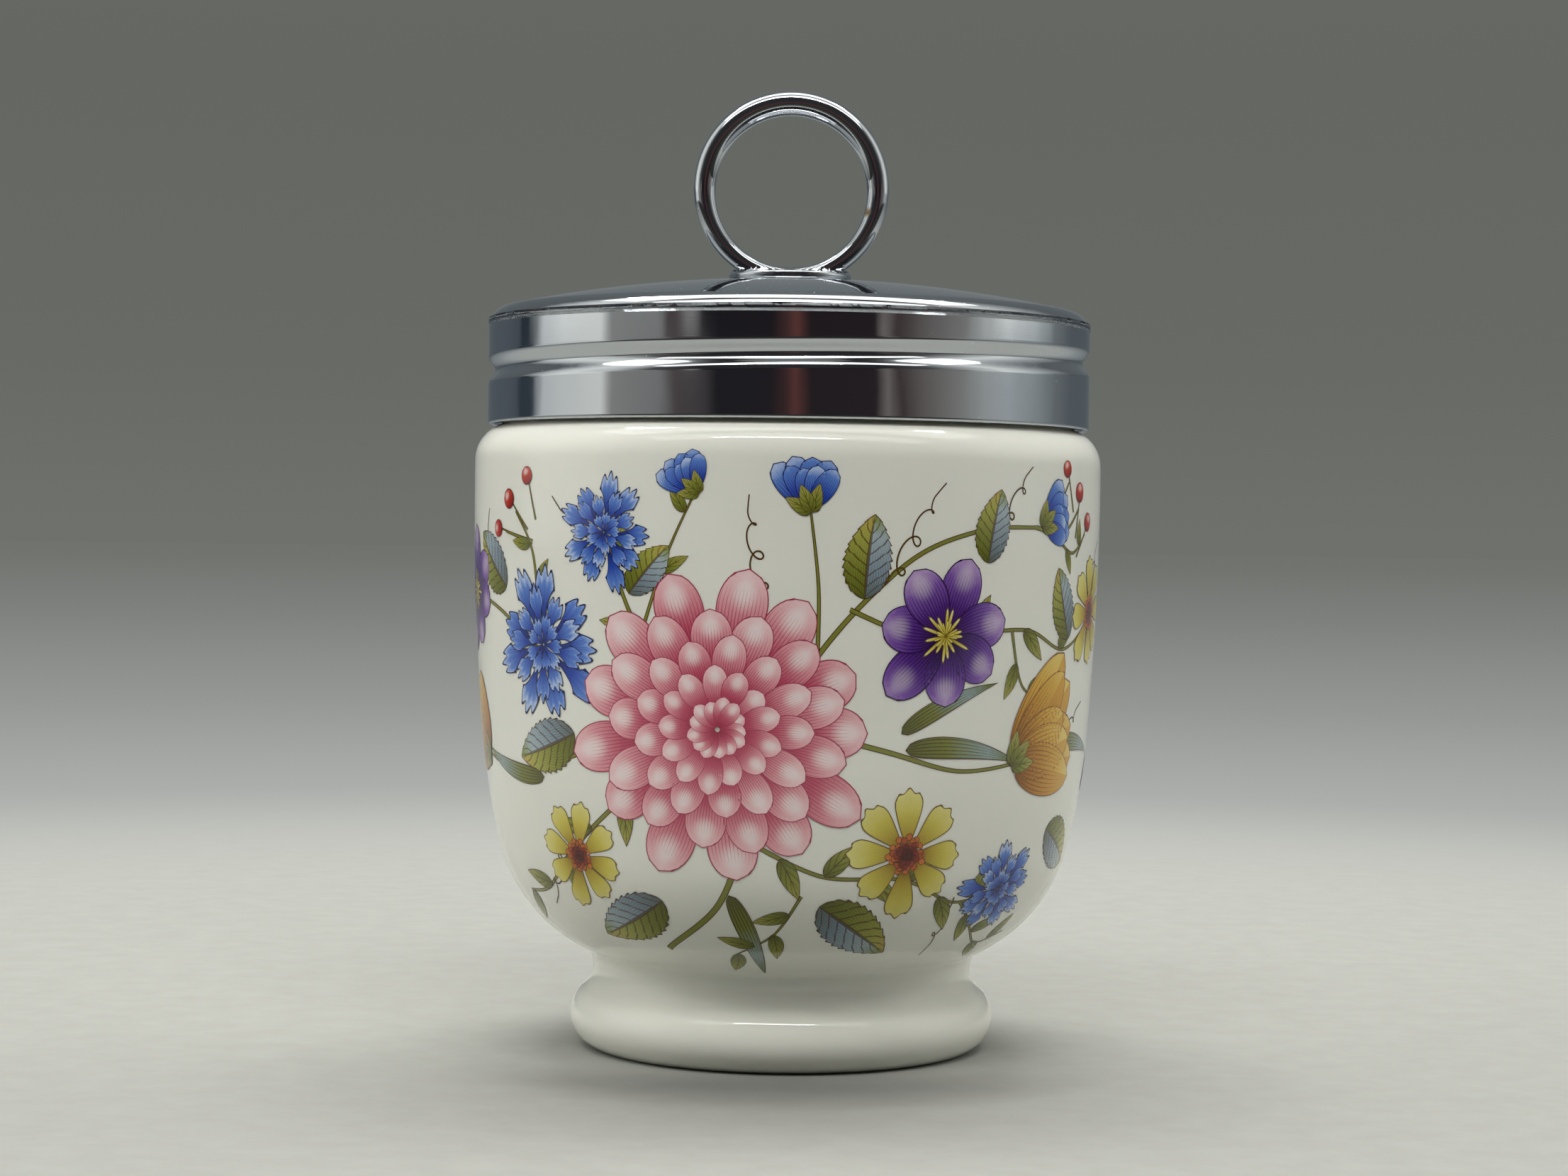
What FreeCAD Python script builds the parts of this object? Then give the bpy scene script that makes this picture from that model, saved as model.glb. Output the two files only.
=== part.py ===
import FreeCAD, Part
import math
import os

# A porcelain egg coddler: a footed cup with a threaded neck, closed by a plated
# screw lid with a rolled thread and a finger ring.
#
# Millimetres. The frame's origin is the centre of the foot on the table, +Z is up,
# and the finger ring stands in the XZ plane.
#
# Solids: the cup is one fired piece. The lid is a thin pressing, a sealing washer
# inside it, a boss that is riveted through its centre, and a ring brazed in the boss.

V = FreeCAD.Vector
UP = V(0, 0, 1)

# --- Cup: bowl ---
BOWL_RADIUS = 32.5            # widest radius, just under the shoulder
BOWL_WIDEST_HEIGHT = 58.0
SIDE_CURVE = 300.0            # long curve of the side
FLANK_START = 31.6            # height below which the side draws in
FLANK_CURVE = 68.0
HEEL_START = 20.9             # height below which the bowl turns under
HEEL_CURVE = 16.4
WALL = 3.3

# --- Cup: foot ---
WAIST_STEP = 12.85            # how far the waist stands in from the bowl's widest radius
SEAM_STEP = 0.52              # from the waist out to where it meets the bowl
SEAM_FILLET = 2.0
FOOT_STEP = 2.35              # how far the rounded foot stands out from the waist
FOOT_WIDEST_HEIGHT = 3.25
FOOT_CURVE = 3.4
FOOT_LAND = 2.4               # width of the unglazed ring that stands on the table
FLOOR_THICKNESS = 4.0
RECESS_TAPER = 1.2            # how much narrower the recess is at its ceiling
RECESS_FILLET = 1.55

# --- Cup: shoulder and neck ---
SHOULDER_HEIGHT = 64.2
SHOULDER_CURVE = 3.9
SHOULDER_STEP = 2.85          # how far the neck stands in from the bowl's widest radius
NECK_HEIGHT = 10.05           # from the shoulder to the rim
NECK_WALL = 3.2
RIM_FILLET = 0.8
NECK_ROOT_FILLET = 0.35
BORE_CURVE = 3.0              # rounding where the bore opens into the bowl
BORE_SLOPE = 5.0              # height over which it opens

# --- Thread, right-handed, one start ---
PITCH = 3.0
GROOVE_DEPTH = 0.68           # depth of the rolled groove in the lid's wall
GROOVE_CURVE = 1.1
GROOVE_HEIGHT = 5.2           # start of the groove above the lid's lower edge
GROOVE_ANGLE = 150.0          # direction at which the groove reaches full depth
GROOVE_TURNS = 1.0
RIDGE_HEIGHT = 0.62           # height of the porcelain ridge over the neck
RIDGE_ANGLE = 0.0
RIDGE_TURNS = 1.0
FADE_CURVE_STEP = 3.5         # both ends run out on arcs wider or tighter by this much
FADE_LIFT = 0.15              # how far past the surface the ends run

# --- Lid pressing ---
THREAD_SPACE = 1.05           # between the neck and the inside of the lid's wall
LID_WALL = 0.45
LID_FILLET = 2.0              # rounded corner between wall and top
DOME_CURVE = 138.0            # spherical top
LID_DROP = 0.2                # lower edge below the shoulder's height
EDGE_FILLET = 0.15

# --- Sealing washer ---
SEAL_THICKNESS = 1.2
SEAL_GAP = 0.3                # running clearance under the lid's ceiling
SEAL_LAP = 0.65               # how far the washer stays inside the neck's outer face
SEAL_OVERHANG = 0.25          # how far it reaches into the bore

# --- Boss and rivet ---
BOSS_RADIUS = 6.35
BOSS_HEIGHT = 0.76            # above the top of the dome
BOSS_FILLET = 0.25
SHANK_RADIUS = 1.8
SHANK_CLEARANCE = 0.05
RIVET_RADIUS = 3.4
RIVET_THICKNESS = 0.9
BRAZE_WIDTH = 0.5             # filler around the ring
BRAZE_RISE = 0.65             # how high it climbs over the boss

# --- Finger ring ---
RING_RADIUS = 9.0             # to the middle of the section
CROWN_RADIUS = 1.31           # the round section thins from here, at the top,
HEEL_RADIUS = 0.97            # to here, at the boss
RING_LIFT = 0.7               # inside of the ring above the top of the boss
RING_SEAT = 0.1               # metal left under the flat of the ring


# ---------------------------------------------------------------- geometry helpers

def on_circle(center, radius, angle):
    """Point of a circle in the half plane of radius and height, angle in radians."""
    return V(center.x + radius * math.cos(angle), 0, center.z + radius * math.sin(angle))


def arc(center, radius, start, end):
    """Arc in the half plane between two angles in radians."""
    middle = (start + end) / 2
    return Part.Arc(on_circle(center, radius, start),
                    on_circle(center, radius, middle),
                    on_circle(center, radius, end)).toShape()


def line(start, end):
    return Part.makeLine(start, end)


def direction(center, point):
    """Angle from a circle's centre to a point of the half plane."""
    return math.atan2(point.z - center.z, point.x - center.x)


def revolve(edges):
    """Solid of revolution about Z from the edges of a closed outline."""
    outline = Part.Wire(Part.sortEdges(edges)[0])
    return Part.Face(outline).revolve(V(0, 0, 0), UP, 360)


def circle_edges(shape, radius, height):
    """Circular edges about Z with this radius and height."""
    return [edge for edge in shape.Edges
            if not edge.Degenerated and isinstance(edge.Curve, Part.Circle)
            and abs(edge.Curve.Radius - radius) < 1e-4
            and abs(edge.Curve.Center.z - height) < 1e-4]


def thread_tube(path_radius, tube_radius, start_angle, start_height, turns, depth, side):
    """Round bar along a helix; both ends run out by its depth, outwards (1) or inwards (-1)."""
    fade_curve = path_radius + side * FADE_CURVE_STEP
    fade = math.sqrt(2 * (depth + FADE_LIFT) / abs(1 / path_radius - 1 / fade_curve))
    helix = Part.makeHelix(PITCH, PITCH * turns, path_radius)
    helix.rotate(V(0, 0, 0), UP, start_angle)
    helix.translate(V(0, 0, start_height))
    path = [edge for edge in helix.Edges]
    climb = PITCH / (2 * math.pi)
    for angle, height, sense in ((start_angle, start_height, -1),
                                 (start_angle + 360 * turns, start_height + PITCH * turns, 1)):
        a = math.radians(angle)
        point = V(path_radius * math.cos(a), path_radius * math.sin(a), height)
        inward = V(-math.cos(a), -math.sin(a), 0)
        tangent = V(-path_radius * math.sin(a), path_radius * math.cos(a), climb) * sense
        tangent.normalize()
        center = point + inward * fade_curve

        def on_fade(length):
            turn = length / fade_curve
            return (center - inward * (fade_curve * math.cos(turn))
                    + tangent * (fade_curve * math.sin(turn)))

        run_out = Part.Arc(point, on_fade(fade / 2), on_fade(fade)).toShape()
        if sense < 0:
            path.insert(0, Part.Arc(on_fade(fade), on_fade(fade / 2), point).toShape())
        else:
            path.append(run_out)
    spine = Part.Wire(path)
    first = spine.OrderedEdges[0]
    start = first.valueAt(first.FirstParameter)
    heading = first.tangentAt(first.FirstParameter)
    section = Part.Wire(Part.makeCircle(tube_radius, start, heading))
    return spine.makePipeShell([section], True, True)


# ---------------------------------------------------------------- shared places

neck_radius = BOWL_RADIUS - SHOULDER_STEP
bore_radius = neck_radius - NECK_WALL
rim_height = SHOULDER_HEIGHT + NECK_HEIGHT
lid_inside = neck_radius + THREAD_SPACE
lid_radius = lid_inside + LID_WALL
lid_bottom = SHOULDER_HEIGHT - LID_DROP
seal_radius = neck_radius - SEAL_LAP
seal_top = rim_height + SEAL_THICKNESS

# Centre of the spherical top: its inside clears the washer's outer edge.
inner_dome = DOME_CURVE - LID_WALL
dome_center = V(0, 0, seal_top + SEAL_GAP - math.sqrt(inner_dome ** 2 - seal_radius ** 2))
lid_top = dome_center.z + DOME_CURVE

groove_start = lid_bottom + GROOVE_HEIGHT
groove_path = lid_radius - GROOVE_DEPTH + GROOVE_CURVE
boss_top = lid_top + BOSS_HEIGHT
ring_center = V(0, 0, boss_top + RING_LIFT + RING_RADIUS - HEEL_RADIUS)


def groove_height(angle):
    """Height of the lid's thread at a direction, in degrees."""
    return groove_start + PITCH * (angle - GROOVE_ANGLE) / 360


# ---------------------------------------------------------------- porcelain cup

def bowl_centers():
    """Centres of the side, flank and heel arcs, and the angles at which they meet."""
    side = V(BOWL_RADIUS - SIDE_CURVE, 0, BOWL_WIDEST_HEIGHT)
    flank_angle = math.asin((FLANK_START - side.z) / SIDE_CURVE)
    flank = on_circle(side, SIDE_CURVE - FLANK_CURVE, flank_angle)
    heel_angle = math.asin((HEEL_START - flank.z) / FLANK_CURVE)
    heel = on_circle(flank, FLANK_CURVE - HEEL_CURVE, heel_angle)
    return side, flank_angle, flank, heel_angle, heel


def waist_arc(waist_radius, foot, seam):
    """Centre and radius of the hollow arc that grows from the foot's curve, is
    narrowest at the waist's radius and ends at the seam."""
    out = seam.x - waist_radius
    rise = seam.z - foot.z
    inset = waist_radius - foot.x
    ratio = (FOOT_CURVE - inset) / out
    square = FOOT_CURVE ** 2 - inset ** 2 + ratio * out ** 2
    below_seam = (math.sqrt(ratio * rise ** 2 - (ratio - 1) * square) - rise) / (ratio - 1)
    radius = (out ** 2 + below_seam ** 2) / (2 * out)
    return V(waist_radius + radius, 0, seam.z - below_seam), radius


def outer_body():
    side, flank_angle, flank, heel_angle, heel = bowl_centers()

    # Rounded foot and hollow waist, which a fillet blends into the bowl's underside.
    waist_radius = BOWL_RADIUS - WAIST_STEP
    foot = V(waist_radius + FOOT_STEP - FOOT_CURVE, 0, FOOT_WIDEST_HEIGHT)
    seam_x = waist_radius + SEAM_STEP
    seam = V(seam_x, 0, heel.z - math.sqrt(HEEL_CURVE ** 2 - (seam_x - heel.x) ** 2))
    waist, waist_curve = waist_arc(waist_radius, foot, seam)
    foot_to_waist = direction(foot, waist)
    sole_angle = -math.asin(FOOT_WIDEST_HEIGHT / FOOT_CURVE)
    sole = on_circle(foot, FOOT_CURVE, sole_angle)

    # Shoulder and neck.
    shoulder_z = SHOULDER_HEIGHT - SHOULDER_CURVE
    side_end = math.asin((shoulder_z - side.z) / SIDE_CURVE)
    shoulder = on_circle(side, SIDE_CURVE, side_end) - V(SHOULDER_CURVE, 0, 0)
    shoulder.z = shoulder_z
    neck_angle = math.acos((neck_radius - shoulder.x) / SHOULDER_CURVE)
    neck_root = on_circle(shoulder, SHOULDER_CURVE, neck_angle)
    rim = V(neck_radius, 0, rim_height)

    body = revolve([
        line(V(0, 0, 0), sole),
        arc(foot, FOOT_CURVE, sole_angle, foot_to_waist),
        arc(waist, waist_curve, foot_to_waist + math.pi, direction(waist, seam)),
        arc(heel, HEEL_CURVE, direction(heel, seam), heel_angle),
        arc(flank, FLANK_CURVE, heel_angle, flank_angle),
        arc(side, SIDE_CURVE, flank_angle, side_end),
        arc(shoulder, SHOULDER_CURVE, 0, neck_angle),
        line(neck_root, rim),
        line(rim, V(0, 0, rim_height)),
        line(V(0, 0, rim_height), V(0, 0, 0)),
    ])
    body = body.makeFillet(SEAM_FILLET, circle_edges(body, seam.x, seam.z))
    roots = circle_edges(body, neck_radius, neck_root.z)
    return body.makeFillet(NECK_ROOT_FILLET, roots), sole.x


def cavity():
    """The inside, an even wall thickness from the outside up to the narrower bore."""
    side, flank_angle, flank, heel_angle, heel = bowl_centers()
    shoulder_z = SHOULDER_HEIGHT - SHOULDER_CURVE
    open_z = shoulder_z - BORE_SLOPE / 2
    open_angle = math.asin((open_z - side.z) / (SIDE_CURVE - WALL))
    widest = on_circle(side, SIDE_CURVE - WALL, open_angle)
    bore_foot = V(bore_radius, 0, open_z + BORE_SLOPE)
    floor = heel.z - (HEEL_CURVE - WALL)
    hollow = revolve([
        line(V(0, 0, floor), V(heel.x, 0, floor)),
        arc(heel, HEEL_CURVE - WALL, -math.pi / 2, heel_angle),
        arc(flank, FLANK_CURVE - WALL, heel_angle, flank_angle),
        arc(side, SIDE_CURVE - WALL, flank_angle, open_angle),
        line(widest, bore_foot),
        line(bore_foot, V(bore_radius, 0, rim_height)),
        line(V(bore_radius, 0, rim_height), V(0, 0, rim_height)),
        line(V(0, 0, rim_height), V(0, 0, floor)),
    ])
    corners = (circle_edges(hollow, widest.x, widest.z)
               + circle_edges(hollow, bore_radius, bore_foot.z))
    return hollow.makeFillet(BORE_CURVE, corners), floor


def foot_recess(sole_radius, floor):
    """Hollow under the foot, inside the ring that the cup stands on."""
    mouth = sole_radius - FOOT_LAND
    depth = floor - FLOOR_THICKNESS
    recess = Part.makeCone(mouth, mouth - RECESS_TAPER, depth)
    ceiling = circle_edges(recess, mouth - RECESS_TAPER, depth)
    return recess.makeFillet(RECESS_FILLET, ceiling)


def porcelain_cup():
    body, sole_radius = outer_body()
    hollow, floor = cavity()
    body = body.cut(hollow).cut(foot_recess(sole_radius, floor))
    rims = (circle_edges(body, neck_radius, rim_height)
            + circle_edges(body, bore_radius, rim_height))
    body = body.makeFillet(RIM_FILLET, rims)

    # The ridge runs half a pitch above the lid's, so the closed lid pulls up under it.
    ridge = thread_tube(neck_radius, RIDGE_HEIGHT, RIDGE_ANGLE,
                        groove_height(RIDGE_ANGLE) + PITCH / 2,
                        RIDGE_TURNS, RIDGE_HEIGHT, -1)
    return body.fuse(ridge)


# ---------------------------------------------------------------- lid pressing

def lid_shell():
    corner_x = lid_radius - LID_FILLET
    corner = V(corner_x, 0, dome_center.z
               + math.sqrt((DOME_CURVE - LID_FILLET) ** 2 - corner_x ** 2))
    crown = direction(dome_center, corner)
    shell = revolve([
        line(V(lid_inside, 0, lid_bottom), V(lid_radius, 0, lid_bottom)),
        line(V(lid_radius, 0, lid_bottom), V(lid_radius, 0, corner.z)),
        arc(corner, LID_FILLET, 0, crown),
        arc(dome_center, DOME_CURVE, crown, math.pi / 2),
        line(V(0, 0, lid_top), V(0, 0, lid_top - LID_WALL)),
        arc(dome_center, inner_dome, math.pi / 2, crown),
        arc(corner, LID_FILLET - LID_WALL, crown, 0),
        line(V(lid_inside, 0, corner.z), V(lid_inside, 0, lid_bottom)),
    ])
    shell = shell.makeFillet(EDGE_FILLET, circle_edges(shell, lid_radius, lid_bottom)
                             + circle_edges(shell, lid_inside, lid_bottom))

    # Rolling pushes the wall inwards: a groove outside, and inside a ridge of the
    # same metal that rides under the porcelain one.
    def rolled(tube_radius):
        return thread_tube(groove_path, tube_radius, GROOVE_ANGLE, groove_start,
                           GROOVE_TURNS, GROOVE_DEPTH, 1)

    within = Part.makeCylinder(lid_radius, lid_top - lid_bottom, V(0, 0, lid_bottom))
    ridge = rolled(GROOVE_CURVE + LID_WALL).common(within)
    shell = shell.fuse(ridge).cut(rolled(GROOVE_CURVE))

    hole = Part.makeCylinder(SHANK_RADIUS + SHANK_CLEARANCE, BOSS_RADIUS,
                             V(0, 0, lid_top - BOSS_RADIUS / 2))
    return shell.cut(hole)


def lid_seal():
    outer = Part.makeCylinder(seal_radius, SEAL_THICKNESS, V(0, 0, rim_height))
    bore = bore_radius - SEAL_OVERHANG
    return outer.cut(Part.makeCylinder(bore, SEAL_THICKNESS, V(0, 0, rim_height)))


# ---------------------------------------------------------------- boss and ring

def ring_solid(growth=0.0):
    """The whole ring, made of two mirrored halves, with its section enlarged by growth."""
    crown = ring_center + UP * RING_RADIUS
    side = ring_center + V(RING_RADIUS, 0, 0)
    heel = ring_center - UP * RING_RADIUS
    along = V(1, 0, 0)
    spine = Part.Wire(Part.Arc(crown, side, heel).toShape())
    sections = [Part.Wire(Part.makeCircle(CROWN_RADIUS + growth, crown, along)),
                Part.Wire(Part.makeCircle(HEEL_RADIUS + growth, heel, along))]
    half = spine.makePipeShell(sections, True, True)
    return half.fuse(half.mirror(V(0, 0, 0), along))


def ring_seat_height():
    """Height of the flat on the underside of the ring."""
    return lid_top + RING_SEAT


def finger_ring():
    """Ring of round section, ground flat where it is brazed into the boss."""
    below = Part.makeCylinder(BOSS_RADIUS, BOSS_RADIUS, V(0, 0, ring_seat_height() - BOSS_RADIUS))
    return ring_solid().cut(below)


def ring_boss():
    base = lid_top - BOSS_HEIGHT
    boss = Part.makeCylinder(BOSS_RADIUS, boss_top - base, V(0, 0, base))
    boss = boss.makeFillet(BOSS_FILLET, circle_edges(boss, BOSS_RADIUS, boss_top))

    # Braze that climbs round the ring, within the boss's own outline.
    collar = Part.makeCylinder(BOSS_RADIUS, BRAZE_RISE + BOSS_FILLET,
                               V(0, 0, boss_top - BOSS_FILLET))
    boss = boss.fuse(ring_solid(BRAZE_WIDTH).common(collar))

    # The underside fits the spherical lid.
    boss = boss.cut(Part.makeSphere(DOME_CURVE, dome_center))
    trough = Part.makeCylinder(BOSS_RADIUS * 2, RING_RADIUS * 2, V(0, 0, ring_seat_height()))
    boss = boss.cut(ring_solid().common(trough))

    # Shank through the lid, peened over inside it.
    under = lid_top - LID_WALL
    head_drop = inner_dome - math.sqrt(inner_dome ** 2 - RIVET_RADIUS ** 2)
    head = Part.makeCylinder(RIVET_RADIUS, RIVET_THICKNESS,
                             V(0, 0, under - head_drop - RIVET_THICKNESS))
    head = head.makeFillet(RIVET_THICKNESS / 2,
                           circle_edges(head, RIVET_RADIUS, under - head_drop - RIVET_THICKNESS))
    shank_foot = under - head_drop
    shank = Part.makeCylinder(SHANK_RADIUS, lid_top + RING_SEAT / 2 - shank_foot,
                              V(0, 0, shank_foot))
    return boss.fuse(shank).fuse(head)


# ---------------------------------------------------------------- output

def main():
    os.makedirs("parts", exist_ok=True)
    nodes = {
        "porcelain_cup": porcelain_cup(),
        "lid_seal": lid_seal(),
        "lid_shell": lid_shell(),
        "ring_boss": ring_boss(),
        "finger_ring": finger_ring(),
    }
    for name, shape in nodes.items():
        shape = shape.Solids[0]
        box = shape.BoundBox
        print("%-14s solids %d valid %s volume %.1f  x %.2f..%.2f  y %.2f..%.2f  z %.2f..%.2f"
              % (name, len(shape.Solids), shape.isValid(), shape.Volume,
                 box.XMin, box.XMax, box.YMin, box.YMax, box.ZMin, box.ZMax))
        shape.exportStep("parts/%s.step" % name)


main()
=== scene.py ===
import math

import bpy
import numpy as np
from mathutils import Euler, Matrix, Vector


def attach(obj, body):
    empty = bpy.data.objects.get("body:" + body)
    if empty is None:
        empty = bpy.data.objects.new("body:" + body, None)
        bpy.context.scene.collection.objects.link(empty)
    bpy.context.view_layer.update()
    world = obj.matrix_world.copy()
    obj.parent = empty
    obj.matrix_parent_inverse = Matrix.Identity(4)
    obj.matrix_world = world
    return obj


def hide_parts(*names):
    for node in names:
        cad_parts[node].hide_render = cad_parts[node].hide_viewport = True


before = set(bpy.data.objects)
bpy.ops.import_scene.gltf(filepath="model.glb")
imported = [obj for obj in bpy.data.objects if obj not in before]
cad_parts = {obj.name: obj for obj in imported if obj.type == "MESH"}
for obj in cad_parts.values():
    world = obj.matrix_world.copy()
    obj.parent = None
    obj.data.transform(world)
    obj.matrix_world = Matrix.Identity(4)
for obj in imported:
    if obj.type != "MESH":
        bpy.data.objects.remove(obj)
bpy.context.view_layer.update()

# ============================================================ studio
# A table-top studio: a pale sheet that runs back into a painted, glowing grey, soft lamps
# above and before it and a window at each side. The dark side of the room lies behind the
# camera.


def linear(code):
    """An sRGB hex colour as linear light."""
    parts = [int(code[i:i + 2], 16) / 255 for i in (0, 2, 4)]
    return tuple(c / 12.92 if c <= 0.04045 else ((c + 0.055) / 1.055) ** 2.4
                 for c in parts) + (1.0,)


def add(tree, kind, links=None, stops=None, **settings):
    """A node with its settings, the values or links of its inputs, and a ramp's stops."""
    node = tree.nodes.new(kind)
    for name, value in settings.items():
        setattr(node, name, value)
    for socket, value in (links or {}).items():
        if isinstance(value, bpy.types.Node):
            value = value.outputs[0]
        if isinstance(value, bpy.types.NodeSocket):
            tree.links.new(value, node.inputs[socket])
        else:
            node.inputs[socket].default_value = value
    if stops:
        steps = node.color_ramp.elements
        steps[0].position, steps[1].position = stops[0][0], stops[-1][0]
        for place, code in stops[1:-1]:
            steps.new(place)
        for step, (place, code) in zip(steps, stops):
            step.color = linear(code)
    return node


def new_material(name):
    """A material and its empty node tree."""
    material = bpy.data.materials.new(name)
    material.use_nodes = True
    material.node_tree.nodes.clear()
    return material, material.node_tree


scene = bpy.context.scene
scene.view_settings.view_transform = "Standard"

# The camera looks down by about a degree and is a little tilted.
CAMERA_PLACE = (-0.00024, -0.33221, 0.05327)
LOOKS_DOWN, TILT, FOCAL_LENGTH = 1.010, 0.719, 73.23
camera = bpy.data.objects.new("camera", bpy.data.cameras.new("camera"))
camera.data.lens = FOCAL_LENGTH
camera.data.sensor_width = 36.0
camera.data.clip_start = 0.01
camera.data.clip_end = 50.0
camera.matrix_world = (Matrix.Translation(CAMERA_PLACE)
                       @ Euler((math.radians(90 - LOOKS_DOWN), 0, 0)).to_matrix().to_4x4()
                       @ Matrix.Rotation(math.radians(TILT), 4, "Z"))
scene.collection.objects.link(camera)
scene.camera = camera


def plain_mesh(name, points, faces, material=None):
    """A new object from points in metres and faces, smooth shaded."""
    mesh = bpy.data.meshes.new(name)
    mesh.from_pydata([tuple(p) for p in points], [], [tuple(f) for f in faces])
    mesh.shade_smooth()
    if material:
        mesh.materials.append(material)
    piece = bpy.data.objects.new(name, mesh)
    scene.collection.objects.link(piece)
    return piece


MATH = "ShaderNodeMath"


def looked_at(tree, path):
    """1 for rays of the camera, gloss and glass, 0 for those that only carry light."""
    seen = add(tree, MATH, {0: path.outputs["Is Camera Ray"],
                            1: path.outputs["Is Glossy Ray"]}, operation="ADD")
    return add(tree, MATH, {0: seen, 1: path.outputs["Is Transmission Ray"]},
               operation="ADD", use_clamp=True)


# Paper sheet. Near the object it takes light and shadow. Further off it glows with a painted
# grey that darkens with distance, a painted fall of light, which the camera and the metal see.
MM = 0.001                     # the pieces are drawn in millimetres, the studio in metres
SHEET_RADIUS, ROUND_STEPS = 9.0, 96
# The colour painted onto the sheet before the object, as its dark reflection and shade.
PAINTED_DARK_FRONT = linear("161412")
sheet_finish, tree = new_material("backdrop paper")
place = add(tree, "ShaderNodeTexCoord")
flat = add(tree, "ShaderNodeVectorMath", {0: place.outputs["Object"], 1: (1, 1, 0)},
           operation="MULTIPLY")
away = add(tree, "ShaderNodeVectorMath", {0: flat}, operation="LENGTH")
# Distance in metres goes onto the ramp as d / (d + 0.5), so 0.5 m is its middle.
longer = add(tree, MATH, {0: away.outputs["Value"], 1: 0.5}, operation="ADD")
share = add(tree, MATH, {0: away.outputs["Value"], 1: longer}, operation="DIVIDE")
# Painted fall of light: the greys the far sheet glows with, darker further away.
grey = add(tree, "ShaderNodeValToRGB", {0: share}, stops=[
    (0.0, "c6c8c3"), (0.25, "c6c8c4"), (0.40, "acaeab"), (0.57, "959794"),
    (0.77, "7f817e"), (0.91, "727470"), (1.0, "6f716d")])
fibre = add(tree, "ShaderNodeTexNoise", {"Vector": place.outputs["Object"], "Scale": 220.0,
                                         "Detail": 4.0, "Roughness": 0.6})
paper_colour = add(tree, "ShaderNodeValToRGB", {0: fibre}, stops=[
    (0.3, "999a95"), (0.7, "9e9f9a")])
bump = add(tree, "ShaderNodeBump", {"Height": fibre, "Strength": 0.1, "Distance": 0.0002})
path = add(tree, "ShaderNodeLightPath")
# Painted dark reflection and shade: for gloss and bounced light the sheet before the object is
# painted in the dark room's colour, while the camera still sees it pale.
apart = add(tree, "ShaderNodeSeparateXYZ", {0: place.outputs["Object"]})
mirrored = add(tree, MATH, {0: path.outputs["Is Glossy Ray"], 1: 0.07,
                            2: apart.outputs["Y"]}, operation="MULTIPLY_ADD")
front = add(tree, "ShaderNodeMapRange", {"Value": mirrored, "From Min": -0.07,
                                         "From Max": -0.16, "To Max": 0.9},
            interpolation_type="SMOOTHSTEP")
unseen = add(tree, MATH, {0: 1.0, 1: path.outputs["Is Camera Ray"]}, operation="SUBTRACT")
painted_darkening = add(tree, MATH, {0: front, 1: unseen}, operation="MULTIPLY")
paper_colour = add(tree, "ShaderNodeMix", {0: painted_darkening, 6: paper_colour, 7: PAINTED_DARK_FRONT},
                   data_type="RGBA").outputs[2]
grey = add(tree, "ShaderNodeMix", {0: painted_darkening, 6: grey, 7: PAINTED_DARK_FRONT},
           data_type="RGBA").outputs[2]
# Painted shadow: the soft shade the object casts towards the front, out of the low light
# behind it, is painted into the paper's colour from how much of the object lies behind, and
# only before the object.
behind = add(tree, "ShaderNodeCombineXYZ", {"Y": 0.8, "Z": 0.6})
painted_shadow = add(tree, "ShaderNodeAmbientOcclusion", {"Distance": 0.022, "Normal": behind})
# How far the painted shadow may darken: fully before the object, not at its sides.
beside = add(tree, "ShaderNodeMapRange", {"Value": apart.outputs["Y"], "From Min": -0.029,
                                          "From Max": -0.013, "To Min": 0.3, "To Max": 1.0},
             interpolation_type="SMOOTHSTEP")
painted_shadow = add(tree, "ShaderNodeMapRange", {"Value": painted_shadow.outputs["AO"], "From Min": 0.2,
                                            "From Max": 0.85, "To Min": beside})
# The painted shadow mixes the paper towards near-black.
paper_colour = add(tree, "ShaderNodeMix", {0: painted_shadow, 6: linear("0c0b09"), 7: paper_colour},
                   data_type="RGBA").outputs[2]
near = add(tree, "ShaderNodeBsdfDiffuse", {"Color": paper_colour, "Normal": bump})
# The far sheet glows with the painted grey instead of taking the lamps' light.
far = add(tree, "ShaderNodeEmission", {"Color": grey})
fade = add(tree, "ShaderNodeMapRange", {"Value": away.outputs["Value"], "From Min": 0.12,
                                        "From Max": 0.34}, interpolation_type="SMOOTHSTEP")
amount = add(tree, MATH, {0: looked_at(tree, path), 1: fade}, operation="MULTIPLY")
mixed = add(tree, "ShaderNodeMixShader", {0: amount, 1: near, 2: far})
add(tree, "ShaderNodeOutputMaterial", {"Surface": mixed})


def circle(radius, height, steps):
    """Points of a level circle about the axis."""
    return [(radius * math.cos(a), radius * math.sin(a), height)
            for a in np.linspace(0, 2 * math.pi, steps, endpoint=False)]


sheet = plain_mesh("sheet", circle(SHEET_RADIUS, -0.05 * MM, ROUND_STEPS),
                   [range(ROUND_STEPS)], sheet_finish)

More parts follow.
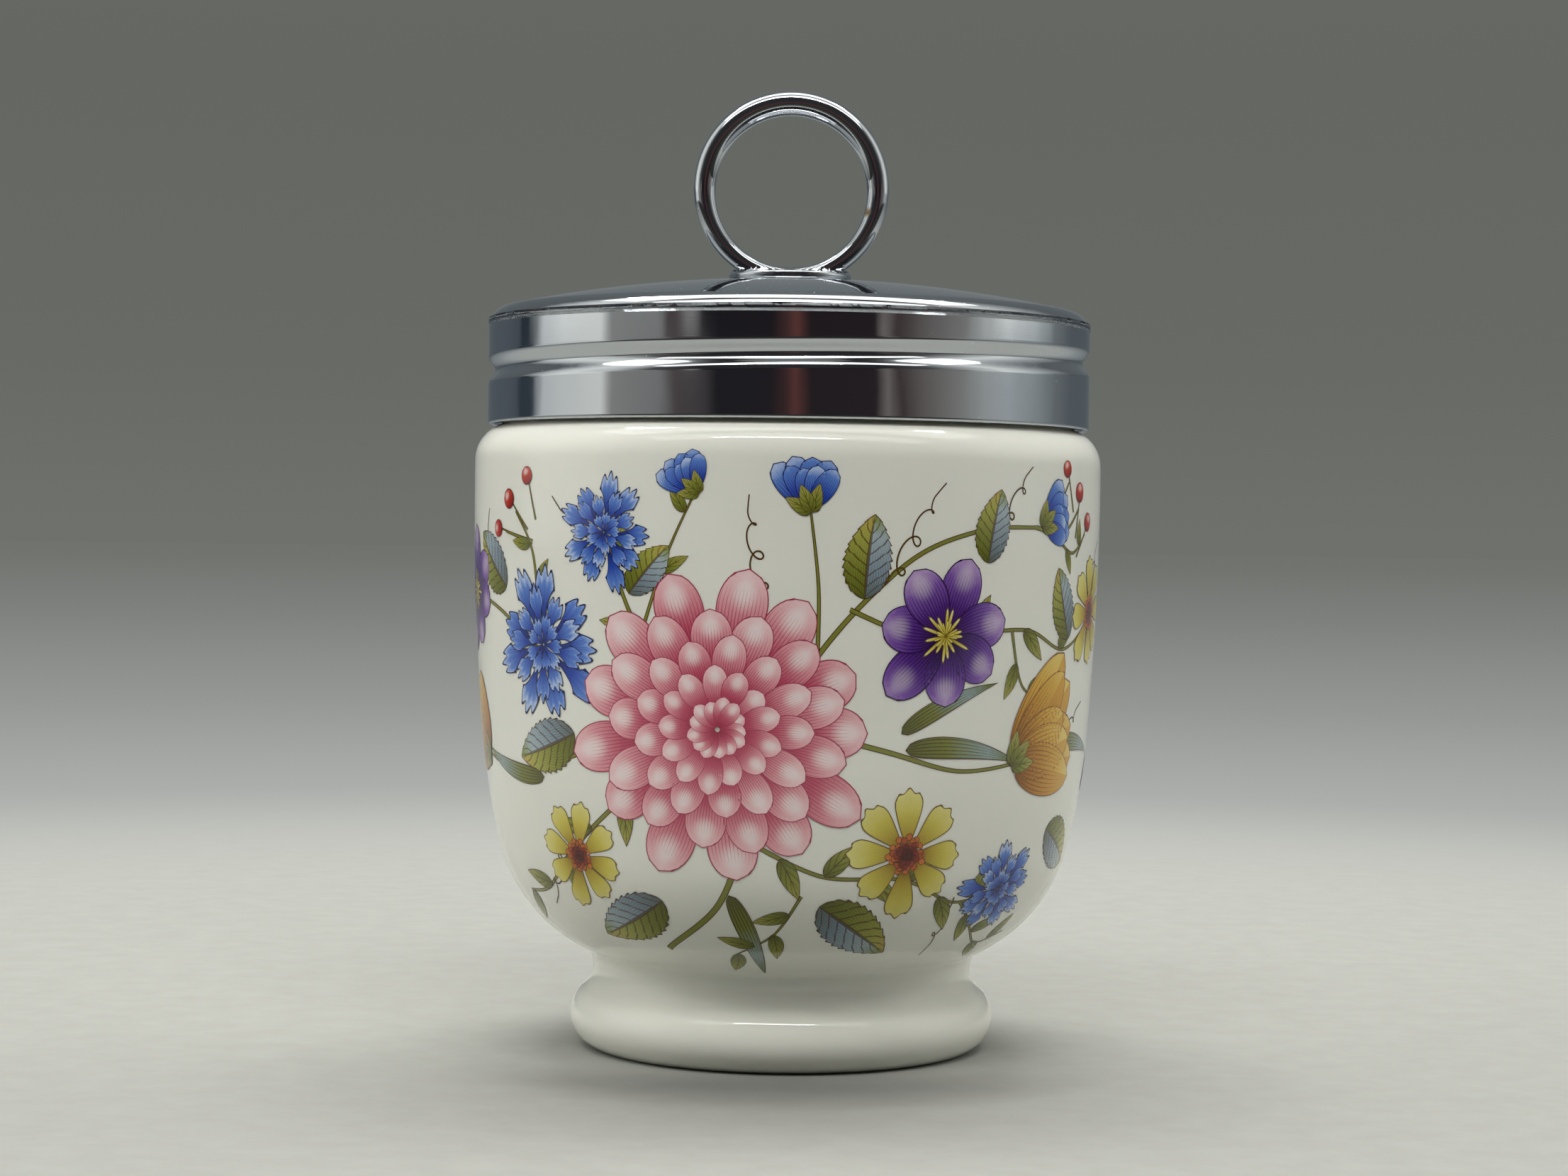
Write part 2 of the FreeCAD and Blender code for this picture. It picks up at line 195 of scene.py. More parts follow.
# The grey above the sheet, and the plain light that comes from all round.
AMBIENT = 0.09
world = bpy.data.worlds.new("studio air")
world.use_nodes = True
tree = world.node_tree
tree.nodes.clear()
place = add(tree, "ShaderNodeTexCoord")
rise = add(tree, "ShaderNodeSeparateXYZ", {0: place.outputs["Generated"]})
backdrop = add(tree, "ShaderNodeValToRGB", {0: rise.outputs["Z"]}, stops=[
    (0.0, "6f716d"), (0.05, "686a66"), (0.14, "656763"), (0.3, "6c6e6a"), (1.0, "8a8b88")])
shown = add(tree, "ShaderNodeBackground", {"Color": backdrop})
before = add(tree, "ShaderNodeMapRange", {"Value": rise.outputs["Y"], "From Min": -0.8,
                                          "From Max": 0.2, "To Min": 0.55 * AMBIENT,
                                          "To Max": AMBIENT})
lit = add(tree, "ShaderNodeBackground", {"Color": linear("fbfbf7"), "Strength": before})
seen = looked_at(tree, add(tree, "ShaderNodeLightPath"))
mixed = add(tree, "ShaderNodeMixShader", {0: seen, 1: lit, 2: shown})
add(tree, "ShaderNodeOutputWorld", {"Surface": mixed})
scene.world = world


def lamp(name, place, target, size, power, mirrored=False):
    """A rectangular soft lamp that faces a point. One that is mirrored shows in gloss and
    metal, and any other only lights what is matt."""
    data = bpy.data.lights.new(name, "AREA")
    data.shape = "RECTANGLE"
    data.size, data.size_y = size
    data.energy = power
    data.color = linear("fffefb")[:3]
    light = bpy.data.objects.new(name, data)
    light.matrix_world = (Matrix.Translation(place)
                          @ (Vector(place) - Vector(target)).to_track_quat("Z", "Y")
                          .to_matrix().to_4x4())
    light.visible_camera = False
    light.visible_glossy = mirrored
    light.visible_diffuse = not mirrored
    scene.collection.objects.link(light)


lamp("overhead", (0, 0.35, 1.12), (0, 0, 0.05), (0.7, 0.3), 8.2)
lamp("overhead_back", (0, 0.60, 1.10), (0, 0, 0.07), (1.9, 0.5), 9.4)
lamp("before", (0, -0.55, 0.95), (0, 0, 0.05), (0.9, 0.3), 6.6)
lamp("before_low", (0, -0.80, 0.80), (0, 0, 0.05), (0.9, 0.3), 1.9)
lamp("side_left", (-0.75, -0.35, 0.80), (0, 0, 0.05), (0.4, 0.4), 1.2)
lamp("window_left", (-1.1, 0.30, 0.62), (0, 0, 0.05), (0.9, 0.8), 2.4)
lamp("window_right", (1.1, 0.30, 0.62), (0, 0, 0.05), (0.9, 0.8), 2.6)
lamp("sill_left", (-1.1, 0.10, 0.36), (0, 0, 0.03), (0.8, 0.4), 2.3)
lamp("sill_right", (0.9, 0.65, 0.36), (0, 0, 0.03), (0.8, 0.4), 2.4)
lamp("panel_front", (0, -0.545, 1.081), (0, 0, 0.07), (1.9, 0.31), 3.7, mirrored=True)
lamp("panel_over", (0, 0.05, 1.17), (0, 0, 0.07), (1.9, 0.47), 5.6, mirrored=True)
lamp("tube_front", (-0.056, -0.597, 0.991), (0, 0, 0.07), (0.72, 0.055), 2.2, mirrored=True)
lamp("tube_left", (-0.455, 0.195, 1.02), (0, 0, 0.07), (0.12, 0.20), 1.1, mirrored=True)
lamp("tube_right", (0.475, 0.185, 1.02), (0, 0, 0.07), (0.10, 0.12), 0.55, mirrored=True)

# The rest of the room, which only shows in polished metal and glaze.
ROOM_RADIUS, ROOM_BOTTOM, ROOM_HEIGHT = 1.7, -0.2, 5.0
room_finish, tree = new_material("room walls")
place = add(tree, "ShaderNodeTexCoord")
apart = add(tree, "ShaderNodeSeparateXYZ", {0: place.outputs["Object"]})
# Direction round the room: 0 behind the sheet, 0.5 behind the camera, 1 behind again.
back = add(tree, MATH, {0: apart.outputs["Y"], 1: -1.0}, operation="MULTIPLY")
side = add(tree, MATH, {0: apart.outputs["X"], 1: back}, operation="ARCTAN2")
turn = add(tree, MATH, {0: side, 1: 1 / (2 * math.pi), 2: 0.5}, operation="MULTIPLY_ADD")
# Nothing in the room is quite upright or straight.
spread = add(tree, "ShaderNodeVectorMath", {0: place.outputs["Object"], 1: (3.0, 3.0, 14.0)},
             operation="MULTIPLY")
ragged = add(tree, "ShaderNodeTexNoise", {"Vector": spread, "Scale": 1.0, "Detail": 2.0})
ragged = add(tree, MATH, {0: ragged, 1: 0.03, 2: -0.015}, operation="MULTIPLY_ADD")
turn = add(tree, MATH, {0: turn, 1: ragged}, operation="ADD")
bands = add(tree, "ShaderNodeValToRGB", {0: turn}, stops=[
    (0.00, "585c5c"), (0.13, "50555a"), (0.157, "474c52"), (0.164, "262c32"),
    (0.183, "262c32"), (0.204, "c0c2bf"), (0.245, "d9dad5"), (0.295, "cfd0cb"),
    (0.312, "7f7f7c"), (0.362, "787876"), (0.375, "3f3637"), (0.388, "4d4646"),
    (0.400, "83817e"), (0.415, "1a1a1d"), (0.480, "1b181b"), (0.497, "412a29"),
    (0.506, "5b3733"), (0.520, "1f1a1c"), (0.590, "211b1e"), (0.602, "6d6663"),
    (0.612, "352b2c"), (0.640, "575250"), (0.690, "757371"), (0.715, "a9aaa6"),
    (0.745, "d5d6d1"), (0.785, "b4b7b4"), (0.830, "6c7070"), (0.870, "53575a"),
    (1.00, "585c5c")])
# Lower down, where the tables and sills are, the same room is flatter.
low = add(tree, "ShaderNodeValToRGB", {0: turn}, stops=[
    (0.00, "585c5c"), (0.13, "50555a"), (0.157, "474c52"), (0.164, "31383e"),
    (0.187, "31383e"), (0.206, "aeb1af"), (0.245, "b8bab6"), (0.295, "c4c4bf"),
    (0.312, "7c7c79"), (0.362, "706f6e"), (0.382, "4a4444"), (0.412, "3a3638"),
    (0.430, "1f1e21"), (0.480, "201d20"), (0.497, "3c2827"), (0.506, "553431"),
    (0.520, "231e20"), (0.590, "262022"), (0.602, "66605d"), (0.612, "3a3031"),
    (0.640, "5a5552"), (0.690, "797875"), (0.715, "8e918f"), (0.745, "94989a"),
    (0.785, "84898a"), (0.830, "646869"), (0.870, "565a5d"), (1.00, "585c5c")])
level = add(tree, "ShaderNodeMapRange", {"Value": apart.outputs["Z"], "From Min": 0.15,
                                         "From Max": 0.20},
            interpolation_type="SMOOTHSTEP")
bands = add(tree, "ShaderNodeMix", {0: level, 6: low, 7: bands}, data_type="RGBA").outputs[2]
# Higher up only the windows stand out from plain walls.
high = add(tree, "ShaderNodeValToRGB", {0: turn}, stops=[
    (0.00, "6a6d6d"), (0.16, "55595b"), (0.205, "b6b8b5"), (0.245, "d2d3cf"),
    (0.30, "b9bab6"), (0.35, "4a4948"), (0.40, "252527"), (0.50, "2a292a"),
    (0.60, "252527"), (0.65, "474747"), (0.70, "9c9d9a"), (0.745, "cfd0cc"),
    (0.80, "a2a4a2"), (0.87, "5a5d5e"), (1.00, "6a6d6d")])
level = add(tree, "ShaderNodeMapRange", {"Value": apart.outputs["Z"], "From Min": 0.22,
                                         "From Max": 0.34},
            interpolation_type="SMOOTHSTEP")
bands = add(tree, "ShaderNodeMix", {0: level, 6: bands, 7: high}, data_type="RGBA").outputs[2]
# The walls fade towards the ceiling, into dark in front and into grey behind.
behind = add(tree, "ShaderNodeMapRange", {"Value": apart.outputs["Y"], "From Min": -0.4,
                                          "From Max": 0.6})
top = add(tree, "ShaderNodeMix", {0: behind, 6: linear("2a2a2a"), 7: linear("6c6e6d")},
          data_type="RGBA").outputs[2]
ceiling = add(tree, "ShaderNodeMapRange", {"Value": apart.outputs["Z"], "From Min": 1.6,
                                           "From Max": ROOM_HEIGHT},
              interpolation_type="SMOOTHSTEP")
painted = add(tree, "ShaderNodeMix", {0: ceiling, 6: bands, 7: top}, data_type="RGBA")
glow = add(tree, "ShaderNodeEmission", {"Color": painted.outputs[2], "Strength": 1.6})
add(tree, "ShaderNodeOutputMaterial", {"Surface": glow})
after = [(i + 1) % ROUND_STEPS for i in range(ROUND_STEPS)]
room = plain_mesh("room", circle(ROOM_RADIUS, ROOM_BOTTOM, ROUND_STEPS)
                  + circle(ROOM_RADIUS, ROOM_HEIGHT, ROUND_STEPS),
                  [(i, n, ROUND_STEPS + n, ROUND_STEPS + i) for i, n in enumerate(after)],
                  room_finish)
room.visible_camera = room.visible_diffuse = room.visible_shadow = False
room.visible_transmission = False

# ============================================================ porcelain cup
# One piece of bone china, slip cast and fired: a bowl on a hollow foot, with a straight
# neck that carries one turn of thread. Clear glaze covers all but the ring it stands on.
BOWL_RADIUS, BOWL_WIDEST_HEIGHT, SIDE_CURVE = 32.42, 58.0, 300.0
FLANK_START, FLANK_CURVE, HEEL_START, HEEL_CURVE = 31.6, 68.0, 20.9, 16.4
WALL, FLOOR_THICKNESS = 3.3, 4.0
FOOT_CENTRE, FOOT_CURVE = (18.6, 3.25), 3.4
WAIST_CENTRE, WAIST_CURVE, SEAM_FILLET = (22.7253, 8.2411), 3.0753, 1.2
FOOT_LAND, RECESS_TAPER, RECESS_FILLET = 2.4, 1.2, 1.55
SHOULDER_HEIGHT, SHOULDER_CURVE = 64.2, 3.9
NECK_RADIUS, BORE_RADIUS, RIM_HEIGHT, RIM_FILLET = 29.65, 26.45, 74.25, 0.8
PITCH, RIDGE_HEIGHT, RIDGE_HALF_WIDTH, RIDGE_START = 3.0, 0.60, 0.95, 69.45
RIDGE_RUN_OUT = 0.095          # in turns
NECK_FROM = 65.4               # the fine steps of the neck start here
BORE_DROP, BORE_FILLET = 2.5, 3.0


def on_circle(centre, radius, angle):
    """A point of a circle, in radius and height."""
    return centre[0] + radius * math.cos(angle), centre[1] + radius * math.sin(angle)


def angle_to(centre, point):
    """The direction of a point from a circle's middle."""
    return math.atan2(point[1] - centre[1], point[0] - centre[0])


def arc(centre, radius, start, end, step):
    """Points of an arc in radius and height, about a step apart."""
    count = max(3, round(abs(end - start) * radius / step) + 1)
    return [on_circle(centre, radius, a) for a in np.linspace(start, end, count)]


def line(start, end, step):
    """Points of a straight run, about a step apart."""
    count = max(2, round(math.dist(start, end) / step) + 1)
    return [tuple(p) for p in np.linspace(start, end, count)]


def corner(before, at, after, radius, count=5):
    """The arc that rounds a corner between two straight runs."""
    to_before = (Vector(before) - Vector(at)).normalized()
    to_after = (Vector(after) - Vector(at)).normalized()
    half = to_before.angle(to_after) / 2
    centre = Vector(at) + (to_before + to_after).normalized() * radius / math.sin(half)
    first = Vector(at) + to_before * radius / math.tan(half)
    last = Vector(at) + to_after * radius / math.tan(half)
    start, end = angle_to(centre, first), angle_to(centre, last)
    end = start + (end - start + math.pi) % (2 * math.pi) - math.pi
    return [on_circle(centre, radius, a) for a in np.linspace(start, end, count)]


side = (BOWL_RADIUS - SIDE_CURVE, BOWL_WIDEST_HEIGHT)
flank_angle = math.asin((FLANK_START - side[1]) / SIDE_CURVE)
flank = on_circle(side, SIDE_CURVE - FLANK_CURVE, flank_angle)
heel_angle = math.asin((HEEL_START - flank[1]) / FLANK_CURVE)
heel = on_circle(flank, FLANK_CURVE - HEEL_CURVE, heel_angle)
floor_height = heel[1] - (HEEL_CURVE - WALL)
sole_angle = -math.asin(FOOT_CENTRE[1] / FOOT_CURVE)
sole = on_circle(FOOT_CENTRE, FOOT_CURVE, sole_angle)
foot_to_waist = angle_to(FOOT_CENTRE, WAIST_CENTRE)
# The hollow between foot and bowl: its curve is tangent to the waist's and the heel's.
apart = math.dist(WAIST_CENTRE, heel)
reach = (apart ** 2 + (WAIST_CURVE - SEAM_FILLET) ** 2
         - (HEEL_CURVE + SEAM_FILLET) ** 2) / (2 * apart)
swing = math.acos(reach / (WAIST_CURVE - SEAM_FILLET))
waist_turn = angle_to(WAIST_CENTRE, heel) + swing
hollow = on_circle(WAIST_CENTRE, WAIST_CURVE - SEAM_FILLET, waist_turn)
shoulder_z = SHOULDER_HEIGHT - SHOULDER_CURVE
side_end = math.asin((shoulder_z - side[1]) / SIDE_CURVE)
shoulder = (on_circle(side, SIDE_CURVE, side_end)[0] - SHOULDER_CURVE, shoulder_z)
neck_angle = math.acos((NECK_RADIUS - shoulder[0]) / SHOULDER_CURVE)
neck_root = on_circle(shoulder, SHOULDER_CURVE, neck_angle)
open_z = shoulder_z - BORE_DROP
open_angle = math.asin((open_z - side[1]) / (SIDE_CURVE - WALL))
widest = on_circle(side, SIDE_CURVE - WALL, open_angle)
bore_foot = (BORE_RADIUS, open_z + 2 * BORE_DROP)
mouth = sole[0] - FOOT_LAND
ceiling_z = floor_height - FLOOR_THICKNESS
ceiling_corner = (mouth - RECESS_TAPER, ceiling_z)

bowl_face = (arc(heel, HEEL_CURVE, angle_to(heel, hollow), heel_angle, 0.5)
             + arc(flank, FLANK_CURVE, heel_angle, flank_angle, 0.8)
             + arc(side, SIDE_CURVE, flank_angle, side_end, 0.9)
             + arc(shoulder, SHOULDER_CURVE, 0, neck_angle - 0.06, 0.3))
cup_outline = (
    line((0, ceiling_z), (12.0, ceiling_z), 3.0)
    + corner((0, ceiling_z), ceiling_corner, (mouth, 0), RECESS_FILLET)
    + line((mouth - RECESS_TAPER * 0.6, ceiling_z * 0.6), (mouth - 0.04, 0.3), 1.2)
    + corner((mouth, 1.0), (mouth, 0), sole, 0.25)
    + line((mouth + 0.4, 0), sole, 0.6)
    + arc(FOOT_CENTRE, FOOT_CURVE, sole_angle, foot_to_waist, 0.3)
    + arc(WAIST_CENTRE, WAIST_CURVE, foot_to_waist + math.pi, waist_turn, 0.3)
    + arc(hollow, SEAM_FILLET, waist_turn, angle_to(hollow, heel), 0.25)
    + bowl_face
    + corner(bowl_face[-1], neck_root, (NECK_RADIUS, RIM_HEIGHT), 0.3)
    + line((NECK_RADIUS, NECK_FROM), (NECK_RADIUS, RIM_HEIGHT - RIM_FILLET), 0.2)
    + arc((NECK_RADIUS - RIM_FILLET, RIM_HEIGHT - RIM_FILLET), RIM_FILLET,
          0, math.pi / 2, 0.18)
    + arc((BORE_RADIUS + RIM_FILLET, RIM_HEIGHT - RIM_FILLET), RIM_FILLET,
          math.pi / 2, math.pi, 0.18)
    + corner((BORE_RADIUS, RIM_HEIGHT), bore_foot, widest, BORE_FILLET)
    + corner(bore_foot, widest, on_circle(side, SIDE_CURVE - WALL, open_angle - 0.02),
             BORE_FILLET)
    + arc(side, SIDE_CURVE - WALL, open_angle - 0.004, flank_angle, 2.0)
    + arc(flank, FLANK_CURVE - WALL, flank_angle, heel_angle, 2.0)
    + arc(heel, HEEL_CURVE - WALL, heel_angle, -math.pi / 2, 1.5)
    + line((heel[0], floor_height), (0, floor_height), 2.5))


def new_tree(name, sockets):
    """A geometry tree with named inputs, and what they give."""
    tree = bpy.data.node_groups.new(name, "GeometryNodeTree")
    for label, kind, value in sockets:
        socket = tree.interface.new_socket(label, in_out="INPUT",
                                           socket_type="NodeSocket" + kind)
        if value is not None:
            socket.default_value = value
    tree.interface.new_socket("Geometry", in_out="OUTPUT", socket_type="NodeSocketGeometry")
    return tree, add(tree, "NodeGroupInput").outputs


def end_tree(tree, geometry, material):
    """Makes instances real, sets the material and hands the geometry out."""
    real = add(tree, "GeometryNodeRealizeInstances", {"Geometry": geometry})
    done = add(tree, "GeometryNodeSetMaterial", {"Geometry": real, "Material": material})
    add(tree, "NodeGroupOutput", {"Geometry": done})
    return tree


WHOLE = "FunctionNodeIntegerMath"


def swung(tree, radius, angle, shares=("SINE", "COSINE")):
    """The two level coordinates of points at a radius and an angle."""
    return [add(tree, MATH, {0: radius, 1: add(tree, MATH, {0: angle}, operation=share)},
                operation="MULTIPLY") for share in shares]


def set_points(tree, geometry, x, y, z):
    """Puts points at coordinates that are given in millimetres."""
    point = add(tree, "ShaderNodeCombineXYZ", {0: x, 1: y, 2: z})
    point = add(tree, "ShaderNodeVectorMath", {0: point, 1: (MM, MM, MM)},
                operation="MULTIPLY")
    return add(tree, "GeometryNodeSetPosition", {"Geometry": geometry, "Position": point})


def turned_tree():
    """A solid turned on the axis from its outline, with a rolled or raised thread."""
    tree, given = new_tree("turned with a thread", [
        ("Outline", "Geometry", None), ("Segments", "Int", 288),
        ("Thread Height", "Float", 0.0), ("Thread Half Width", "Float", 1.0),
        ("Thread Pitch", "Float", 3.0), ("Thread Start", "Float", 0.0),
        ("Thread Angle", "Float", 0.0), ("Thread Turns", "Float", 1.0),
        ("Thread Fade", "Float", 0.1), ("Thread From Radius", "Float", 0.0),
        ("Material", "Material", None)])

    # A grid with a row for each point of the outline and a column for each direction.
    rows = add(tree, "GeometryNodeAttributeDomainSize", {"Geometry": given["Outline"]},
               component="MESH").outputs["Point Count"]
    columns = add(tree, WHOLE, {0: given["Segments"], 1: 1}, operation="ADD")
    grid = add(tree, "GeometryNodeMeshGrid", {"Vertices X": columns, "Vertices Y": rows})
    index = add(tree, "GeometryNodeInputIndex")
    column = add(tree, WHOLE, {0: index, 1: rows}, operation="DIVIDE_FLOOR")
    row = add(tree, WHOLE, {0: index, 1: rows}, operation="MODULO")
    position = add(tree, "GeometryNodeInputPosition")
    outline = add(tree, "GeometryNodeSampleIndex",
                  {"Geometry": given["Outline"], "Value": position, "Index": row},
                  data_type="FLOAT_VECTOR")
    outline = add(tree, "ShaderNodeSeparateXYZ", {0: outline}).outputs
    part = add(tree, MATH, {0: column, 1: given["Segments"]}, operation="DIVIDE")

    # How far round its helix each point lies, and its wave's height off the middle.
    round_by = add(tree, MATH, {0: part, 1: given["Thread Angle"]}, operation="SUBTRACT")
    round_by = add(tree, MATH, {0: round_by}, operation="FRACT")
    pitches = outline["Z"]
    for operation, by in (("SUBTRACT", given["Thread Start"]),
                          ("DIVIDE", given["Thread Pitch"]), ("SUBTRACT", round_by)):
        pitches = add(tree, MATH, {0: pitches, 1: by}, operation=operation)
    lap = add(tree, MATH, {0: pitches}, operation="ROUND")
    wave = pitches
    for operation, by in (("SUBTRACT", lap), ("MULTIPLY", given["Thread Pitch"]),
                          ("ABSOLUTE", 0.0), ("DIVIDE", given["Thread Half Width"]),
                          ("MINIMUM", 1.0), ("MULTIPLY", math.pi), ("COSINE", 0.0)):
        wave = add(tree, MATH, {0: wave, 1: by}, operation=operation)
    wave = add(tree, MATH, {0: wave, 1: 0.5, 2: 0.5}, operation="MULTIPLY_ADD")
    # Past its ends it runs out.
    along = add(tree, MATH, {0: lap, 1: round_by}, operation="ADD")
    before = add(tree, MATH, {0: along, 1: -1.0}, operation="MULTIPLY")
    past = add(tree, MATH, {0: along, 1: given["Thread Turns"]}, operation="SUBTRACT")
    for operation, by in (("MAXIMUM", before), ("MAXIMUM", 0.0),
                          ("DIVIDE", given["Thread Fade"]), ("MINIMUM", 1.0),
                          ("POWER", 2.0)):
        past = add(tree, MATH, {0: past, 1: by}, operation=operation)
    full = add(tree, MATH, {0: 1.0, 1: past}, operation="SUBTRACT")
    outside = add(tree, MATH, {0: outline["X"], 1: given["Thread From Radius"]},
                  operation="GREATER_THAN")
    height = wave
    for share in (full, outside, given["Thread Height"]):
        height = add(tree, MATH, {0: height, 1: share}, operation="MULTIPLY")
    radius = add(tree, MATH, {0: outline["X"], 1: height}, operation="ADD")

    angle = add(tree, MATH, {0: part, 1: 2 * math.pi}, operation="MULTIPLY")
    x, y = swung(tree, radius, angle, ("COSINE", "SINE"))
    solid = set_points(tree, grid, x, y, outline["Z"])
    solid = add(tree, "GeometryNodeMergeByDistance", {"Geometry": solid,
                                                      "Distance": 0.0005 * MM})
    solid = add(tree, "GeometryNodeSetShadeSmooth", {"Geometry": solid})
    return end_tree(tree, solid, given["Material"])


def grow(name, start, tree, **inputs):
    """Runs a geometry tree on a starting object and leaves a plain mesh in its place."""
    modifier = start.modifiers.new("grow", "NODES")
    modifier.node_group = tree
    for socket in tree.interface.items_tree:
        value = inputs.get(socket.name.lower().replace(" ", "_"))
        if value is not None:
            modifier[socket.identifier] = value
    seen = start.evaluated_get(bpy.context.evaluated_depsgraph_get())
    mesh = bpy.data.meshes.new_from_object(seen)
    bpy.data.objects.remove(start)
    mesh.name = name
    piece = bpy.data.objects.new(name, mesh)
    scene.collection.objects.link(piece)
    return piece


def apart_points(points):
    """The points without those that lie on the one before."""
    return [points[0]] + [p for q, p in zip(points, points[1:]) if math.dist(p, q) > 0.01]


def turned(name, outline, material, **inputs):
    """A turned piece from its outline in millimetres of radius and height."""
    start = plain_mesh("outline", [(r, 0, z) for r, z in apart_points(outline)], [])
    return grow(name, start, turning, material=material, **inputs)


turning = turned_tree()


def glaze_waves(tree, place):
    """The glaze's own surface, in waves some 5 mm long."""
    wave = add(tree, "ShaderNodeTexNoise", {"Vector": place, "Scale": 1 / (5 * MM),
                                            "Detail": 1.0})
    return add(tree, "ShaderNodeBump", {"Height": wave, "Strength": 1.0,
                                        "Distance": 0.012 * MM})


# Bone china under a lead-free gloss glaze: a warm white that lets a little light in, with
# a wavy, glassy surface. The ring it stands on is bare, matt and a little darker.
china, tree = new_material("glazed bone china")
place = add(tree, "ShaderNodeTexCoord").outputs["Object"]
apart = add(tree, "ShaderNodeSeparateXYZ", {0: place})
cloud = add(tree, "ShaderNodeTexNoise", {"Vector": place, "Scale": 1 / (22 * MM),
                                         "Detail": 2.0})
body_colour = add(tree, "ShaderNodeValToRGB", {0: cloud}, stops=[
    (0.3, "ebece2"), (0.7, "efefe5")])
bare = add(tree, "ShaderNodeMapRange", {"Value": apart.outputs["Z"], "From Min": 0.32 * MM,
                                        "From Max": 0.18 * MM})
colour = add(tree, "ShaderNodeMix", {0: bare, 6: body_colour, 7: linear("cfcbb9")},
             data_type="RGBA")
gloss = add(tree, "ShaderNodeMapRange", {"Value": bare, "To Min": 0.035, "To Max": 0.8})
grit = add(tree, "ShaderNodeTexNoise", {"Vector": place, "Scale": 1 / (0.25 * MM),
                                        "Detail": 2.0})
grit = add(tree, MATH, {0: grit, 1: bare}, operation="MULTIPLY")
rough = add(tree, "ShaderNodeBump", {"Height": grit, "Strength": 1.0, "Distance": 0.05 * MM,
                                     "Normal": glaze_waves(tree, place)})
glaze = add(tree, "ShaderNodeBsdfPrincipled", {
    "Base Color": colour.outputs[2], "Roughness": gloss, "IOR": 1.52,
    "Subsurface Weight": 0.15, "Subsurface Radius": (1.0, 0.8, 0.6),
    "Subsurface Scale": 1.2 * MM, "Normal": rough})
add(tree, "ShaderNodeOutputMaterial", {"Surface": glaze})

cup = turned("porcelain_body", cup_outline, china, thread_height=RIDGE_HEIGHT,
             thread_half_width=RIDGE_HALF_WIDTH, thread_pitch=PITCH,
             thread_start=RIDGE_START, thread_angle=0.0, thread_turns=1.0,
             thread_fade=RIDGE_RUN_OUT, thread_from_radius=NECK_RADIUS - 0.75)
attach(cup, "cup")
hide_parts("porcelain_cup")

# ============================================================ printed flowers
# A ceramic transfer of garden flowers, fired into the glaze all round the bowl. It is
# drawn flat, in millimetres round and up the bowl, and laid on the glazed face.
PRINT_RADIUS = 32.0            # a millimetre round the drawing is this radius's arc
PRINT_LIFT = 0.02              # first colour above the glaze
bowl_face = apart_points(bowl_face)
face_run = np.concatenate(([0.0], np.cumsum([math.dist(p, q) for p, q in
                                             zip(bowl_face, bowl_face[1:])])))
face_radius = np.array([p[0] for p in bowl_face])
face_height = np.array([p[1] for p in bowl_face])


def run_at(height):
    """Length up the bowl's face, from the waist, at a height."""
    return float(np.interp(height, face_height, face_run))


# The bowl's face as a line, for the drawing to be laid on.
bowl_line = plain_mesh("bowl_line", [(r, 0, z) for r, z in bowl_face], [])
bowl_line.data.edges.add(len(bowl_face) - 1)
bowl_line.data.edges.foreach_set("vertices", [i for k in range(len(bowl_face) - 1)
                                              for i in (k, k + 1)])
CARRIED = "GeometryNodeInputNamedAttribute"     # reads a value that the points carry


def laying_nodes(tree, flat, face, anchored):
    """Bends a flat drawing onto the bowl: x goes round, y up the face, z off it."""
    separate = "ShaderNodeSeparateXYZ"
    at = add(tree, separate, {0: add(tree, "GeometryNodeInputPosition")}).outputs
    curve = add(tree, "GeometryNodeObjectInfo", {"Object": face}).outputs["Geometry"]
    curve = add(tree, "GeometryNodeMeshToCurve", {"Mesh": curve})
    sample = add(tree, "GeometryNodeSampleCurve", {"Curves": curve, "Length": at["Y"]},
                 mode="LENGTH", use_all_curves=True).outputs
    spot = add(tree, separate, {0: sample["Position"]}).outputs
    way = add(tree, separate, {0: sample["Tangent"]}).outputs
    if anchored:
        # A motif keeps its own width where the bowl is narrower.
        anchor = add(tree, CARRIED, {"Name": "anchor"}, data_type="FLOAT_VECTOR")
        middle = add(tree, separate, {0: anchor}).outputs["X"]
        first = add(tree, MATH, {0: middle, 1: PRINT_RADIUS}, operation="DIVIDE")
        aside = add(tree, MATH, {0: at["X"], 1: middle}, operation="SUBTRACT")
        aside = add(tree, MATH, {0: aside, 1: spot["X"]}, operation="DIVIDE")
        angle = add(tree, MATH, {0: first, 1: aside}, operation="ADD")
    else:
        angle = add(tree, MATH, {0: at["X"], 1: PRINT_RADIUS}, operation="DIVIDE")
    # Off the face, along its normal: the tangent turned by a right angle.
    out = add(tree, MATH, {0: at["Z"], 1: way["Z"]}, operation="MULTIPLY")
    radius = add(tree, MATH, {0: spot["X"], 1: out}, operation="ADD")
    down = add(tree, MATH, {0: at["Z"], 1: way["X"]}, operation="MULTIPLY")
    height = add(tree, MATH, {0: spot["Z"], 1: down}, operation="SUBTRACT")
    x, y = swung(tree, radius, angle)
    y = add(tree, MATH, {0: y, 1: -1.0}, operation="MULTIPLY")
    laid = set_points(tree, flat, x, y, height)
    return add(tree, "GeometryNodeSetShadeSmooth", {"Geometry": laid})


